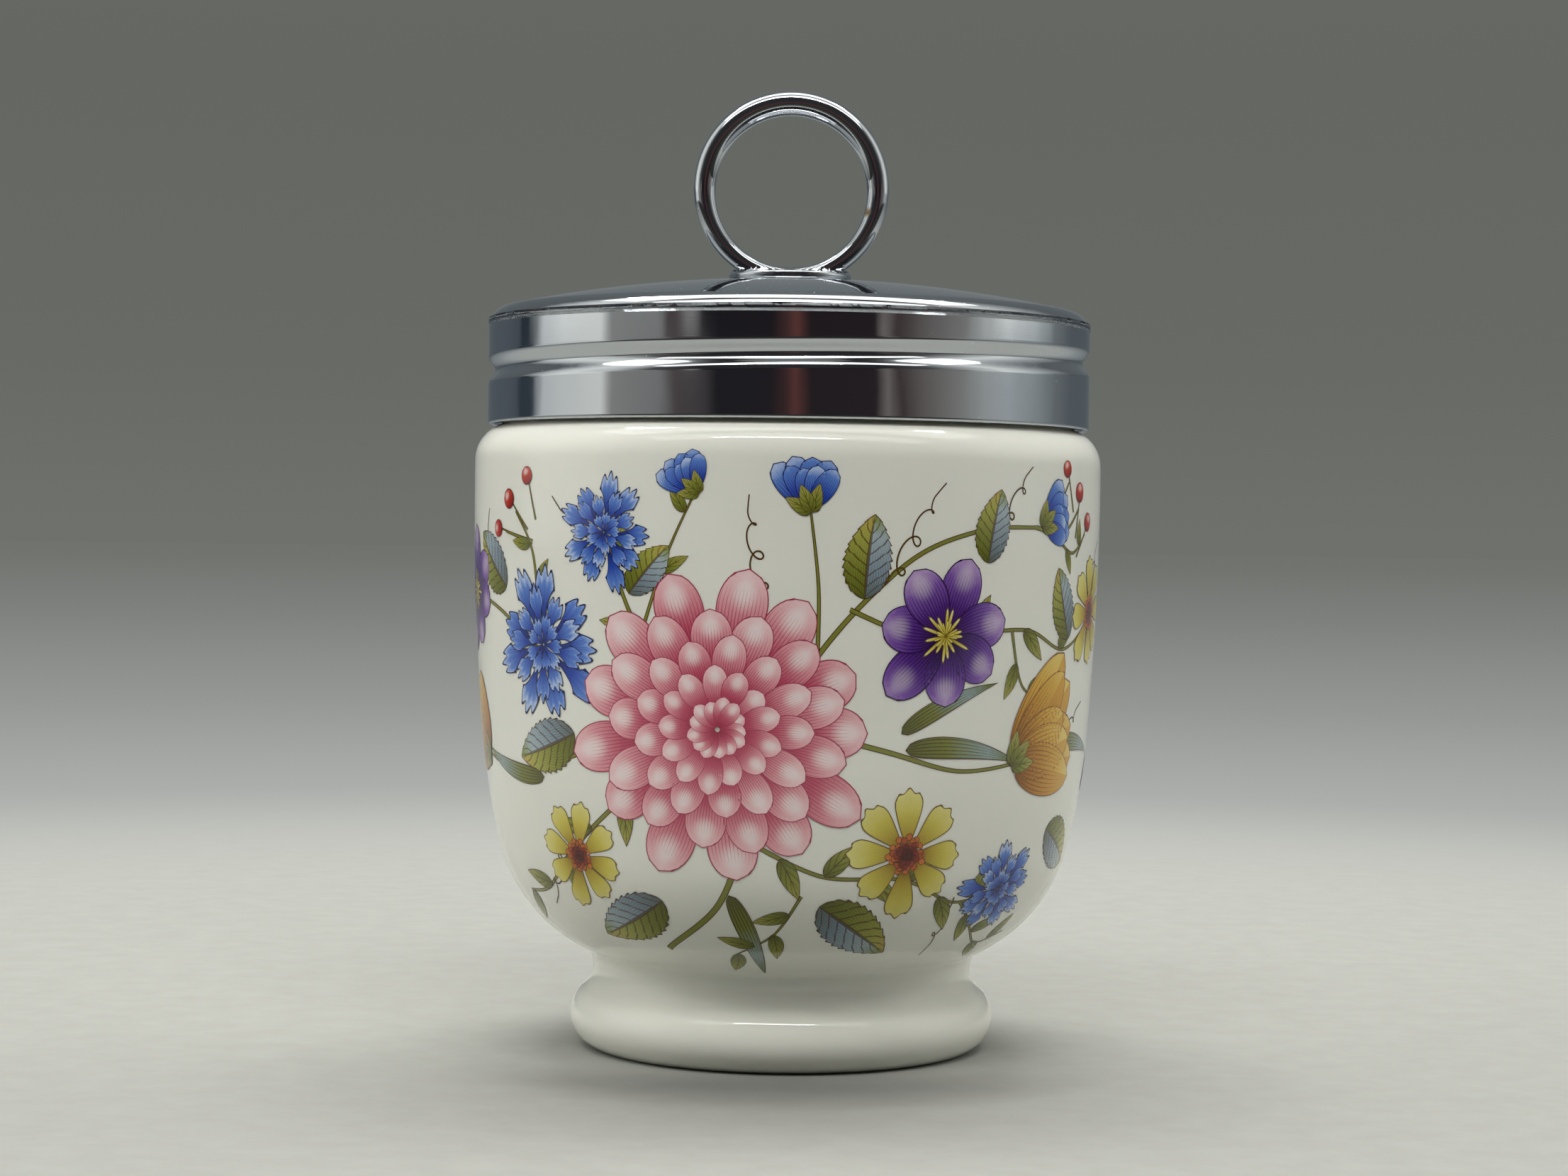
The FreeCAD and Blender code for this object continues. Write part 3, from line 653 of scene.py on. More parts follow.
def flower_head_tree():
    """Rings of petals round a middle, each ring laid over the one outside it."""
    tree, given = new_tree("flower head", [
        ("Petal", "Geometry", None), ("Petals", "Int", 8), ("Rings", "Int", 1),
        ("Outer Reach", "Float", 0.0), ("Inner Reach", "Float", 0.0),
        ("Outer Size", "Float", 1.0), ("Inner Size", "Float", 1.0),
        ("Spread", "Float", 2 * math.pi), ("Turn", "Float", 0.0),
        ("Unevenness", "Float", 0.1), ("Layer", "Float", 0.001), ("Seed", "Int", 1),
        ("Material", "Material", None)])
    count = add(tree, WHOLE, {0: given["Petals"], 1: given["Rings"]}, operation="MULTIPLY")
    points = add(tree, "GeometryNodeMeshLine", {"Count": count, "Offset": (0, 0, 0)})
    index = add(tree, "GeometryNodeInputIndex")
    ring = add(tree, WHOLE, {0: index, 1: given["Petals"]}, operation="DIVIDE_FLOOR")
    number = add(tree, WHOLE, {0: index, 1: given["Petals"]}, operation="MODULO")
    last = add(tree, MATH, {0: given["Rings"], 1: 1.0}, operation="SUBTRACT")
    last = add(tree, MATH, {0: last, 1: 1.0}, operation="MAXIMUM")
    inward = add(tree, MATH, {0: ring, 1: last}, operation="DIVIDE")
    reach, size = [add(tree, "ShaderNodeMapRange", {
        "Value": inward, "To Min": given["Outer " + what], "To Max": given["Inner " + what]})
        for what in ("Reach", "Size")]
    chance = add(tree, "FunctionNodeRandomValue", {
        2: -1.0, 3: 1.0, "ID": index, "Seed": given["Seed"]}, data_type="FLOAT").outputs[1]
    wobble = add(tree, MATH, {0: chance, 1: given["Unevenness"]}, operation="MULTIPLY")
    half = add(tree, MATH, {0: ring, 1: 0.5}, operation="MULTIPLY")
    where = number
    for operation, by in (("ADD", half), ("ADD", wobble), ("DIVIDE", given["Petals"])):
        where = add(tree, MATH, {0: where, 1: by}, operation=operation)
    angle = add(tree, MATH, {0: where, 1: given["Spread"], 2: given["Turn"]},
                operation="MULTIPLY_ADD")
    x, y = swung(tree, reach, angle)
    z = add(tree, MATH, {0: index, 1: given["Layer"]}, operation="MULTIPLY")
    points = add(tree, "GeometryNodeSetPosition", {
        "Geometry": points, "Position": add(tree, "ShaderNodeCombineXYZ", {0: x, 1: y, 2: z})})
    back = add(tree, MATH, {0: angle, 1: -1.0}, operation="MULTIPLY")
    turn = add(tree, "ShaderNodeCombineXYZ", {2: back})
    chance = add(tree, "FunctionNodeRandomValue", {2: -1.0, 3: 1.0, "ID": index, "Seed": 7},
                 data_type="FLOAT").outputs[1]
    grown = add(tree, MATH, {0: chance, 1: given["Unevenness"], 2: 1.0},
                operation="MULTIPLY_ADD")
    grown = add(tree, MATH, {0: grown, 1: size}, operation="MULTIPLY")
    scale = add(tree, "ShaderNodeCombineXYZ", {0: size, 1: grown, 2: 1.0})
    petals = add(tree, "GeometryNodeInstanceOnPoints", {
        "Points": points, "Instance": given["Petal"], "Rotation": turn, "Scale": scale})
    tone = add(tree, "FunctionNodeRandomValue", {"ID": index, "Seed": 21}, data_type="FLOAT")
    for name, value in (("ring", inward), ("tone", tone.outputs[1])):
        petals = add(tree, "GeometryNodeStoreNamedAttribute", {
            "Geometry": petals, "Name": name, "Value": value}, data_type="FLOAT",
            domain="INSTANCE")
    return end_tree(tree, petals, given["Material"])


def setting_out_tree():
    """One motif at each place of the drawing, turned and sized there, on the bowl."""
    tree, given = new_tree("motifs set out", [
        ("Motif", "Geometry", None), ("Places", "Object", None), ("Face", "Object", None),
        ("Material", "Material", None)])
    places = add(tree, "GeometryNodeObjectInfo", {"Object": given["Places"]})
    turn = add(tree, CARRIED, {"Name": "turn"}, data_type="FLOAT")
    size = add(tree, CARRIED, {"Name": "size"}, data_type="FLOAT_VECTOR")
    motifs = add(tree, "GeometryNodeInstanceOnPoints", {
        "Points": places.outputs["Geometry"], "Instance": given["Motif"],
        "Rotation": add(tree, "ShaderNodeCombineXYZ", {2: turn}), "Scale": size})
    motifs = add(tree, "GeometryNodeStoreNamedAttribute", {
        "Geometry": motifs, "Name": "anchor",
        "Value": add(tree, "GeometryNodeInputPosition")}, data_type="FLOAT_VECTOR",
        domain="INSTANCE")
    motifs = add(tree, "GeometryNodeRealizeInstances", {"Geometry": motifs})
    return end_tree(tree, laying_nodes(tree, motifs, given["Face"], True),
                    given["Material"])


def stem_tree():
    """Flat tapering strokes along the drawing's lines, on the bowl."""
    tree, given = new_tree("stems and tendrils", [
        ("Lines", "Geometry", None), ("Face", "Object", None), ("Material", "Material", None)])
    curve = add(tree, "GeometryNodeMeshToCurve", {"Mesh": given["Lines"]})
    width = add(tree, CARRIED, {"Name": "width"}, data_type="FLOAT")
    curve = add(tree, "GeometryNodeSetCurveNormal", {"Curve": curve}, mode="Z_UP")
    pen = add(tree, "GeometryNodeCurvePrimitiveLine", {"Start": (-0.5, 0, 0),
                                                       "End": (0.5, 0, 0)})
    pen = add(tree, "GeometryNodeResampleCurve", {"Curve": pen, "Count": 5}, mode="COUNT")
    across = add(tree, "GeometryNodeSplineParameter").outputs["Factor"]
    pen = add(tree, "GeometryNodeStoreNamedAttribute", {
        "Geometry": pen, "Name": "across", "Value": across}, data_type="FLOAT",
        domain="POINT")
    strokes = add(tree, "GeometryNodeCurveToMesh", {"Curve": curve, "Profile Curve": pen,
                                                    "Scale": width})
    # The same marks as a petal has: across, along, and distance from its rim.
    across = add(tree, CARRIED, {"Name": "across"}, data_type="FLOAT")
    across = add(tree, MATH, {0: across, 1: 2.0, 2: -1.0}, operation="MULTIPLY_ADD")
    inside = add(tree, MATH, {0: across}, operation="ABSOLUTE")
    inside = add(tree, MATH, {0: 1.0, 1: inside}, operation="SUBTRACT")
    for share in (width, 0.5):
        inside = add(tree, MATH, {0: inside, 1: share}, operation="MULTIPLY")
    mark = add(tree, "ShaderNodeCombineXYZ", {0: across, 1: 0.5, 2: inside})
    strokes = add(tree, "GeometryNodeStoreNamedAttribute", {
        "Geometry": strokes, "Name": "petal", "Value": mark}, data_type="FLOAT_VECTOR",
        domain="POINT")
    return end_tree(tree, laying_nodes(tree, strokes, given["Face"], False),
                    given["Material"])


flower_head, setting_out, stemming = flower_head_tree(), setting_out_tree(), stem_tree()


def attribute(mesh, name, kind, values):
    """Values for a mesh to carry, one for each point."""
    layer = mesh.attributes.new(name, kind, "POINT")
    layer.data.foreach_set("vector" if kind == "FLOAT_VECTOR" else "value",
                           np.ravel(np.array(values, dtype=np.float32)))


def petal(length, half_width, outline, tip=None, bend=0.0, columns=8, rows=12):
    """A flat petal or leaf that grows up from the origin. outline gives its share of the
    half width at a share of its length, tip how far its edge runs on across its width,
    and bend how far it leans aside at its end."""
    points, marks, faces = [], [], []
    for j in range(rows + 1):
        v = j / rows
        for i in range(columns + 1):
            u = 2 * i / columns - 1
            run = length * (v + (tip(u) * v ** 3 if tip else 0))
            points.append((u * half_width * max(outline(v), 0.02) + bend * v * v, run, 0))
            marks.append((u, v))
    for j in range(rows):
        for i in range(columns):
            a = j * (columns + 1) + i
            faces.append((a, a + 1, a + columns + 2, a + columns + 1))
    grid = np.array(points).reshape(rows + 1, columns + 1, 3)
    border = np.concatenate([grid[0], grid[:, -1], grid[-1, ::-1], grid[::-1, 0]])
    start, step = border[:-1], np.diff(border, axis=0)
    square = np.maximum((step ** 2).sum(1), 1e-12)
    rims = []
    for p in points:
        share = np.clip(((np.array(p) - start) * step).sum(1) / square, 0, 1)
        rims.append(np.sqrt(((start + step * share[:, None] - p) ** 2).sum(1)).min())
    piece = plain_mesh("petal", points, faces)
    attribute(piece.data, "petal", "FLOAT_VECTOR",
              [(u, v, rim) for (u, v), rim in zip(marks, rims)])
    return piece


def set_out(name, shape, places, material, **inputs):
    """A flower head of one petal's shape, or a lone leaf, printed at each place: round,
    height, size, turn in degrees and layer."""
    motif = grow("head", shape, flower_head, **inputs)
    spots = plain_mesh("spots", [(x, run_at(z), PRINT_LIFT + layer)
                                 for x, z, size, turn, layer in places], [])
    attribute(spots.data, "turn", "FLOAT", [math.radians(-p[3]) for p in places])
    attribute(spots.data, "size", "FLOAT_VECTOR", [(p[2], p[2], 1.0) for p in places])
    piece = grow(name, motif, setting_out, places=spots, face=bowl_line, material=material)
    bpy.data.objects.remove(spots)
    return printed(piece)


def draw_lines(name, strokes, material):
    """Tapering strokes, each a list of (round, height) with its widths at both ends."""
    points, edges, widths = [], [], []
    for stroke, (first, last), layer in strokes:
        for k, (x, z) in enumerate(stroke):
            if k:
                edges.append((len(points) - 1, len(points)))
            points.append((x, run_at(z), PRINT_LIFT + layer))
            widths.append(first + (last - first) * k / (len(stroke) - 1))
    mesh = bpy.data.meshes.new("lines")
    mesh.from_pydata(points, edges, [])
    attribute(mesh, "width", "FLOAT", widths)
    start = bpy.data.objects.new("lines", mesh)
    scene.collection.objects.link(start)
    return printed(grow(name, start, stemming, face=bowl_line, material=material))


def printed(piece):
    """Gives a printed piece the bowl's own normals, so that the glaze runs through."""
    mesh = piece.data
    at = np.empty(len(mesh.vertices) * 3)
    mesh.vertices.foreach_get("co", at)
    at = at.reshape(-1, 3)
    slope = np.gradient(face_radius, face_run), np.gradient(face_height, face_run)
    out = np.interp(at[:, 2] / MM, face_height, slope[1])
    up = -np.interp(at[:, 2] / MM, face_height, slope[0])
    flat = np.hypot(at[:, 0], at[:, 1])
    normals = np.stack([at[:, 0] / flat * out, at[:, 1] / flat * out, up], axis=1)
    mesh.normals_split_custom_set_from_vertices(
        (normals / np.linalg.norm(normals, axis=1)[:, None]).tolist())
    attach(piece, "cup")
    return piece


def ink(name, stops, outline, by="along", pen=(7.0, 0.3, 0.75), veins=0.0, other=None,
        pale=0.0, rim=0.11):
    """Fired enamel under glaze: a wash that changes from a petal's foot to its tip, fine
    strokes drawn over it, and an outline. by names what the wash follows."""
    material, tree = new_material(name)
    mark = add(tree, "ShaderNodeAttribute", attribute_name="petal").outputs["Vector"]
    mark = add(tree, "ShaderNodeSeparateXYZ", {0: mark}).outputs
    tone = add(tree, "ShaderNodeAttribute", attribute_name="tone").outputs["Fac"]
    place = add(tree, "ShaderNodeTexCoord").outputs["Object"]
    grain = add(tree, "ShaderNodeTexNoise", {"Vector": place, "Scale": 1 / (0.35 * MM),
                                             "Detail": 3.0})
    if by == "ring":
        wash = add(tree, "ShaderNodeAttribute", attribute_name="ring").outputs["Fac"]
    else:
        wash = mark["Y"]
    uneven = add(tree, MATH, {0: tone, 1: 0.22, 2: wash}, operation="MULTIPLY_ADD")
    uneven = add(tree, MATH, {0: grain, 1: 0.16, 2: uneven}, operation="MULTIPLY_ADD")
    uneven = add(tree, MATH, {0: uneven, 1: 0.19}, operation="SUBTRACT")
    colour = add(tree, "ShaderNodeValToRGB", {0: uneven}, stops=stops).outputs["Color"]
    if other:
        half = add(tree, MATH, {0: mark["X"], 1: 0.0}, operation="GREATER_THAN")
        second = add(tree, "ShaderNodeValToRGB", {0: uneven}, stops=other)
        colour = add(tree, "ShaderNodeMix", {0: half, 6: colour, 7: second},
                     data_type="RGBA").outputs[2]
    if pale:
        # A bare patch of white china towards the tip.
        aside = add(tree, MATH, {0: mark["X"], 1: 1.5}, operation="MULTIPLY")
        beyond = add(tree, MATH, {0: mark["Y"], 1: -0.74}, operation="ADD")
        beyond = add(tree, MATH, {0: beyond, 1: 4.2}, operation="MULTIPLY")
        patch = add(tree, "ShaderNodeCombineXYZ", {0: aside, 1: beyond})
        patch = add(tree, "ShaderNodeVectorMath", {0: patch}, operation="LENGTH")
        patch = add(tree, "ShaderNodeMapRange", {"Value": patch.outputs["Value"],
                                                 "From Min": 1.1, "From Max": 0.2,
                                                 "To Max": pale},
                    interpolation_type="SMOOTHSTEP")
        colour = add(tree, "ShaderNodeMix", {0: patch, 6: colour, 7: linear("f6ecea")},
                     data_type="RGBA").outputs[2]
    # Strokes that run up from the foot and thin out.
    count, width, end = pen
    stroke = add(tree, MATH, {0: mark["X"], 1: count, 2: tone}, operation="MULTIPLY_ADD")
    for operation, by in (("FRACT", 0.0), ("SUBTRACT", 0.5), ("ABSOLUTE", 0.0)):
        stroke = add(tree, MATH, {0: stroke, 1: by}, operation=operation)
    reach = add(tree, "ShaderNodeMapRange", {"Value": mark["Y"], "From Max": end,
                                             "To Min": width, "To Max": 0.0})
    reach = add(tree, MATH, {0: reach, 1: grain}, operation="MULTIPLY")
    drawn = add(tree, MATH, {0: stroke, 1: reach}, operation="LESS_THAN")
    drawn = add(tree, MATH, {0: drawn, 1: 0.7}, operation="MULTIPLY")
    if veins:
        # A midrib, and side veins that slant up to the edge.
        aside = add(tree, MATH, {0: mark["X"]}, operation="ABSOLUTE")
        slant = add(tree, MATH, {0: aside, 1: -1.7}, operation="MULTIPLY")
        vein = add(tree, MATH, {0: mark["Y"], 1: veins, 2: slant}, operation="MULTIPLY_ADD")
        vein = add(tree, MATH, {0: vein}, operation="FRACT")
        vein = add(tree, MATH, {0: vein, 1: 0.16}, operation="LESS_THAN")
        rib = add(tree, MATH, {0: aside, 1: 0.07}, operation="LESS_THAN")
        for operation, by in (("MAXIMUM", vein), ("MULTIPLY", 0.75), ("MAXIMUM", drawn)):
            rib = add(tree, MATH, {0: rib, 1: by}, operation=operation)
        drawn = rib
    edge = add(tree, "ShaderNodeMapRange", {"Value": mark["Z"], "From Min": rim,
                                            "From Max": rim * 0.6})
    drawn = add(tree, MATH, {0: drawn, 1: edge}, operation="MAXIMUM")
    colour = add(tree, "ShaderNodeMix", {0: drawn, 6: colour, 7: linear(outline)},
                 data_type="RGBA")
    dull = add(tree, "ShaderNodeMapRange", {"Value": grain, "To Min": 0.04, "To Max": 0.1})
    shader = add(tree, "ShaderNodeBsdfPrincipled", {
        "Base Color": colour.outputs[2], "Roughness": dull, "IOR": 1.52,
        "Normal": glaze_waves(tree, place)})
    add(tree, "ShaderNodeOutputMaterial", {"Surface": shader})
    return material


def swell(foot, tip):
    """A petal's share of its half width: a larger foot or tip makes that end sharper."""
    widest = foot / (foot + tip)
    most = widest ** foot * (1 - widest) ** tip
    return lambda v: v ** foot * (1 - v) ** tip / most


def saw_edged(v):
    """A leaf's outline with teeth that point to its tip."""
    return swell(0.6, 0.8)(v) * (1.0 - 0.13 * ((v * 11) % 1.0))


# The drawing: for each kind of motif its places as distance round the bowl from the
# front, height, size and turn from upright.
drawing = {kind: [] for kind in (
    "dahlia", "cornflower", "bell", "coreopsis", "clematis", "tulip", "berry",
    "broad_leaf", "small_leaf", "blade", "sepal")}
strokes = []
LINE_STEP = 0.35


def flowing(points, step=LINE_STEP):
    """A smooth line through points, about a step apart."""
    padded = [Vector(p) for p in [points[0]] + list(points) + [points[-1]]]
    smooth = []
    for a, b, c, d in zip(padded, padded[1:], padded[2:], padded[3:]):
        count = max(2, round((c - b).length / step))
        for t in np.linspace(0, 1, count, endpoint=False):
            smooth.append(0.5 * (2 * b + (c - a) * t + (2 * a - 5 * b + 4 * c - d) * t ** 2
                                 + (3 * b - a - 3 * c + d) * t ** 3))
    return smooth + [padded[-1]]


def tendril(length, loops, size, rise=0.0):
    """Points of a line that winds into small loops as it goes up."""
    points = []
    for k in range(int(loops * 22) + 12):
        share = k / (loops * 22 + 11)
        turn = 2 * math.pi * (loops + 0.5) * share
        wide = size * math.sin(math.pi * min(1.0, 0.15 + share)) ** 0.5
        points.append((rise * share ** 2 + wide * (1 - math.cos(turn)) / 2,
                       length * share + 0.75 * wide * math.sin(turn)))
    return points


def placed(points, x, z, turn):
    """Points turned from upright and moved."""
    a = math.radians(turn)
    return [(x + px * math.cos(a) + pz * math.sin(a),
             z - px * math.sin(a) + pz * math.cos(a)) for px, pz in points]


def spray(middle, mirror, plants, branches, tendrils):
    """Adds a spray whose places are counted from its own middle. A branch has its
    widths, its points, and the spacing and size of the leaves along it."""
    for kind, x, z, size, turn in plants:
        drawing[kind].append((middle + mirror * x, z, size, mirror * turn))
        if kind in ("bell", "tulip"):
            foot = placed([(0, -0.5)], middle + mirror * x, z, mirror * turn)[0]
            for lean in (-38, 38, 0):
                drawing["sepal"].append((*foot, 0.55 * size, mirror * turn + lean))
        if kind == "berry":
            strokes.append(((0.3, 0.2), placed([(0.5 * mirror, -3.6), (0.25 * mirror, -1.8),
                                                (0, 0.2)],
                                               middle + mirror * x, z, mirror * turn)))
    for widths, points, spacing, size in branches:
        branch = flowing([(middle + mirror * x, z) for x, z in points])
        strokes.append((widths, branch))
        side, step = mirror, round(spacing / LINE_STEP)
        for k in range(step, len(branch) - 2, max(step, 1)):
            heading = math.degrees(math.atan2(*(branch[k + 1] - branch[k - 1])))
            drawing["small_leaf"].append((*branch[k], size, heading + side * 48))
            side = -side
    for x, z, turn, length, loops, size in tendrils:
        strokes.append(((0.2, 0.12), placed(
            [(mirror * px, pz) for px, pz in tendril(length, loops, size, length * 0.25)],
            middle + mirror * x, z, mirror * turn)))


spray(0, 1, [
    ("dahlia", -6.5, 34.5, 1.08, 10),
    ("clematis", 15.8, 43.5, 1.12, 20), ("coreopsis", 13.0, 22.5, 1.12, 0),
    ("cornflower", -26.5, 42.0, 1.35, -30), ("cornflower", -18.3, 53.0, 0.95, 8),
    ("tulip", 25.5, 31.0, 1.25, 62), ("tulip", -40.5, 30.5, 1.0, -58),
    ("bell", 2.2, 55.6, 1.0, -8), ("bell", 28.5, 54.2, 1.0, 68),
    ("bell", -8.6, 57.2, 0.8, -38),
    ("coreopsis", -23.5, 21.5, 0.95, 15), ("coreopsis", 40.0, 45.5, 1.0, 40),
    ("cornflower", 26.5, 18.5, 0.9, 120), ("clematis", -43.0, 47.0, 0.95, 0),
    ("broad_leaf", -13.5, 17.6, 0.95, -112), ("broad_leaf", 7.4, 47.0, 0.8, 16),
    ("broad_leaf", -22.5, 33.5, 0.9, -98), ("broad_leaf", 4.0, 17.5, 0.95, 142),
    ("broad_leaf", 20.5, 50.5, 0.72, 22), ("broad_leaf", -33.0, 47.5, 0.85, -42),
    ("broad_leaf", 33.5, 24.0, 0.85, 128), ("broad_leaf", 34.0, 43.0, 0.75, -12),
    ("broad_leaf", -15.5, 47.2, 0.62, 52),
    ("blade", 12.0, 32.6, 1.0, 98), ("blade", 11.5, 34.2, 0.85, 68),
    ("blade", -27.5, 29.0, 0.9, -78), ("blade", -5.8, 18.5, 0.9, 172),
    ("blade", 32.0, 32.5, 0.9, 98),
    ("berry", 35.5, 56.5, 1.0, 20), ("berry", 37.5, 53.8, 0.95, 50),
    ("berry", 33.0, 59.0, 0.85, -10), ("berry", -31.5, 55.6, 1.0, -40),
    ("berry", -33.8, 53.2, 0.9, -70), ("berry", -28.6, 57.6, 0.9, -10),
], [
    ((0.75, 0.4), [(-15, 12.5), (-7, 17.5), (-3, 27), (2, 40), (11, 50), (19, 53.5),
                   (27, 54)], 99, 1.0),
    ((0.6, 0.35), [(-6, 36), (-14, 43), (-18, 52)], 6.0, 0.75),
    ((0.5, 0.25), [(-27, 44), (-28, 51), (-31, 55)], 4.0, 0.6),
    ((0.5, 0.25), [(-28, 52), (-33, 53)], 9.0, 0.5),
    ((0.6, 0.35), [(-8, 36), (-18, 38), (-26, 41), (-34, 45), (-42, 47)], 99, 0.8),
    ((0.6, 0.35), [(-8, 33), (-16, 28), (-23, 23), (-30, 18), (-36, 17)], 5.2, 0.85),
    ((0.5, 0.3), [(-14, 34), (-24, 31), (-33, 29.5), (-40, 30.5)], 99, 0.8),
    ((0.65, 0.35), [(0, 35), (10, 32.5), (18, 30.5), (26, 31)], 99, 0.8),
    ((0.5, 0.3), [(6, 46), (11, 44), (16, 43.5), (26, 44), (33, 42), (40, 45)], 6.5, 0.8),
    ((0.45, 0.25), [(3, 42), (3, 48), (2.2, 55)], 99, 0.7),
    ((0.4, 0.2), [(-14, 44), (-11.5, 51), (-8.8, 56.8)], 5.5, 0.6),
    ((0.5, 0.3), [(-4, 24), (4, 20.5), (13, 20), (20, 17.5), (26, 18.5)], 4.6, 0.85),
    ((0.4, 0.2), [(21, 17.5), (28, 12.8), (34, 13.5)], 2.9, 0.7),
    ((0.5, 0.25), [(27, 54), (32, 53.5), (35.5, 56)], 99, 0.7),
    ((0.4, 0.25), [(30, 53.5), (34, 51.5), (37.3, 53.4)], 3.0, 0.5),
    ((0.35, 0.2), [(30, 53.7), (31.5, 56.5), (33, 58.5)], 99, 0.5),
    ((0.4, 0.2), [(2, 18.5), (-1, 14.5), (-6, 12.2)], 2.6, 0.7),
    ((0.4, 0.2), [(24, 44), (26, 38.5), (31, 36.5)], 3.4, 0.7),
], [
    (9.5, 48.5, 18, 11, 3, 1.5), (22, 54.2, 24, 7, 2, 1.3), (-17.5, 51, -68, 9, 2, 1.4),
    (31, 30.5, 40, 10, 3, 1.4), (-25, 22, -150, 8, 2, 1.3), (38, 45.0, 20, 9, 3, 1.3),
    (-2.5, 46.5, -20, 10, 3, 1.4), (20, 18, 170, 6, 2, 1.1), (-38, 46.0, -10, 9, 2, 1.3)])
BACK = [
    ("dahlia", 0.0, 36.0, 0.7, 0), ("cornflower", -15.0, 41.5, 1.1, -40),
    ("coreopsis", 12.5, 29.0, 1.0, 20), ("clematis", -11.0, 24.5, 0.95, 0),
    ("tulip", 15.5, 43.0, 1.0, 40), ("bell", 2.6, 54.6, 0.95, 8),
    ("broad_leaf", -8.0, 43.5, 0.8, -22), ("broad_leaf", 3.5, 26.5, 0.85, 150),
    ("broad_leaf", 10.5, 38.0, 0.75, 78), ("broad_leaf", -16.5, 30.5, 0.8, -100),
    ("blade", 0.0, 24.0, 0.85, 178), ("blade", 17.0, 31.0, 0.8, 84),
    ("berry", -19.5, 50.2, 0.95, -30), ("berry", -21.8, 47.6, 0.9, -60)]
BACK_BRANCHES = [
    ((0.6, 0.35), [(-6, 14), (-2, 24), (1, 38), (2.6, 54)], 5.5, 0.8),
    ((0.5, 0.25), [(0, 34), (-8, 40), (-14, 42), (-19, 50)], 5.0, 0.75),
    ((0.5, 0.3), [(2, 32), (8, 36), (14, 41)], 99, 0.8),
    ((0.4, 0.2), [(0, 28), (7, 28), (12, 29), (20, 34), (23, 40)], 4.5, 0.75),
    ((0.5, 0.3), [(0, 32), (-6, 28), (-11, 25), (-18, 18)], 5.0, 0.75)]
BACK_TENDRILS = [(5, 42, 30, 10, 3, 1.4), (-16, 27, -100, 9, 3, 1.4),
                 (-4, 19, 160, 7, 2, 1.2)]
spray(70.0, 1, BACK, BACK_BRANCHES, BACK_TENDRILS)
spray(-72.0, -1, BACK, BACK_BRANCHES, BACK_TENDRILS)
spray(-101.0, 1, [
    ("coreopsis", 1.0, 38.0, 1.1, 0), ("cornflower", 4.5, 51.0, 0.95, 20),
    ("bell", -4.5, 22.5, 0.95, 190), ("berry", -4.6, 46.5, 0.95, -30),
    ("berry", -6.2, 44.0, 0.9, -60), ("broad_leaf", 2.5, 30.0, 0.7, 120)], [
    ((0.5, 0.25), [(-4.6, 22.8), (-3.4, 26), (-1, 32), (1, 40), (3, 46), (4.5, 50)], 4.2,
     0.75),
    ((0.4, 0.2), [(1, 40), (-2, 43), (-4.6, 46)], 99, 0.6)], [
    (2, 44, -50, 9, 3, 1.3), (-2, 29, -140, 7, 2, 1.2)])


def at_layer(kind, layer, each=0.00012):
    """The places of a kind, each a hair above the one before."""
    return [place + (layer + each * i,) for i, place in enumerate(drawing[kind])]


BROWN_LINE = "4a2a12"
leaf_inks = ink("leaf enamel", [(0.0, "56621f"), (0.4, "7c8430"), (0.8, "a8a94e"),
                                (1.0, "b9a856")], BROWN_LINE, veins=8.0, pen=(9.0, 0.25, 0.9),
                other=[(0.0, "59675c"), (0.4, "8598a4"), (0.8, "a9bac0"), (1.0, "8d9a5a")])
leaf_ink = ink("small leaf enamel", [(0.0, "56621f"), (0.5, "828a35"), (1.0, "aeab55")],
               BROWN_LINE, veins=4.0, pen=(5.0, 0.2, 0.8), rim=0.1)
blade_ink = ink("blade enamel", [(0.0, "4f5c22"), (0.4, "7b8434"), (0.75, "93a8a6"),
                                 (1.0, "6d7a2e")], BROWN_LINE, pen=(3.0, 0.5, 1.1), rim=0.1)
rose_ink = ink("rose enamel", [(0.0, "9c2444"), (0.3, "c4546c"), (0.62, "e29aa2"),
                               (1.0, "f3d0d2")], "a23550", pen=(7.0, 0.55, 0.8),
               pale=0.75, rim=0.12)
blue_ink = ink("cobalt enamel", [(0.0, "1c2c7a"), (0.4, "2f4fb4"), (0.8, "5f86d2"),
                                 (1.0, "b4c8ea")], "1a2257", pen=(5.0, 0.6, 0.9))
yellow_ink = ink("yellow enamel", [(0.0, "8a5a14"), (0.22, "b9a02c"), (0.6, "d3c552"),
                                   (1.0, "e0d884")], "6b5212", pen=(8.0, 0.4, 0.7))
eye_ink = ink("red-brown enamel", [(0.0, "c8702c"), (0.5, "8c3018"), (1.0, "4c1410")],
              "3c120c", by="ring", pen=(1.0, 0.0, 1.0), rim=0.05)
purple_ink = ink("purple enamel", [(0.0, "2c1046"), (0.4, "552a86"), (0.75, "8058ac"),
                                   (1.0, "b79acb")], "260c3c", pen=(7.0, 0.6, 0.85),
                 pale=0.35)
stamen_ink = ink("stamen enamel", [(0.0, "9a8420"), (0.5, "d8c654"), (1.0, "f0e8a0")],
                 "6a5410", pen=(1.0, 0.0, 1.0), rim=0.06)
ochre_ink = ink("ochre enamel", [(0.0, "7c4a12"), (0.35, "c08820"), (0.7, "dcae3c"),
                                 (1.0, "e8cc6c")], "7a4410", pen=(6.0, 0.5, 0.9),
                other=[(0.0, "7c4a12"), (0.35, "b87c1c"), (0.7, "d39c30"), (1.0, "d8a840")])
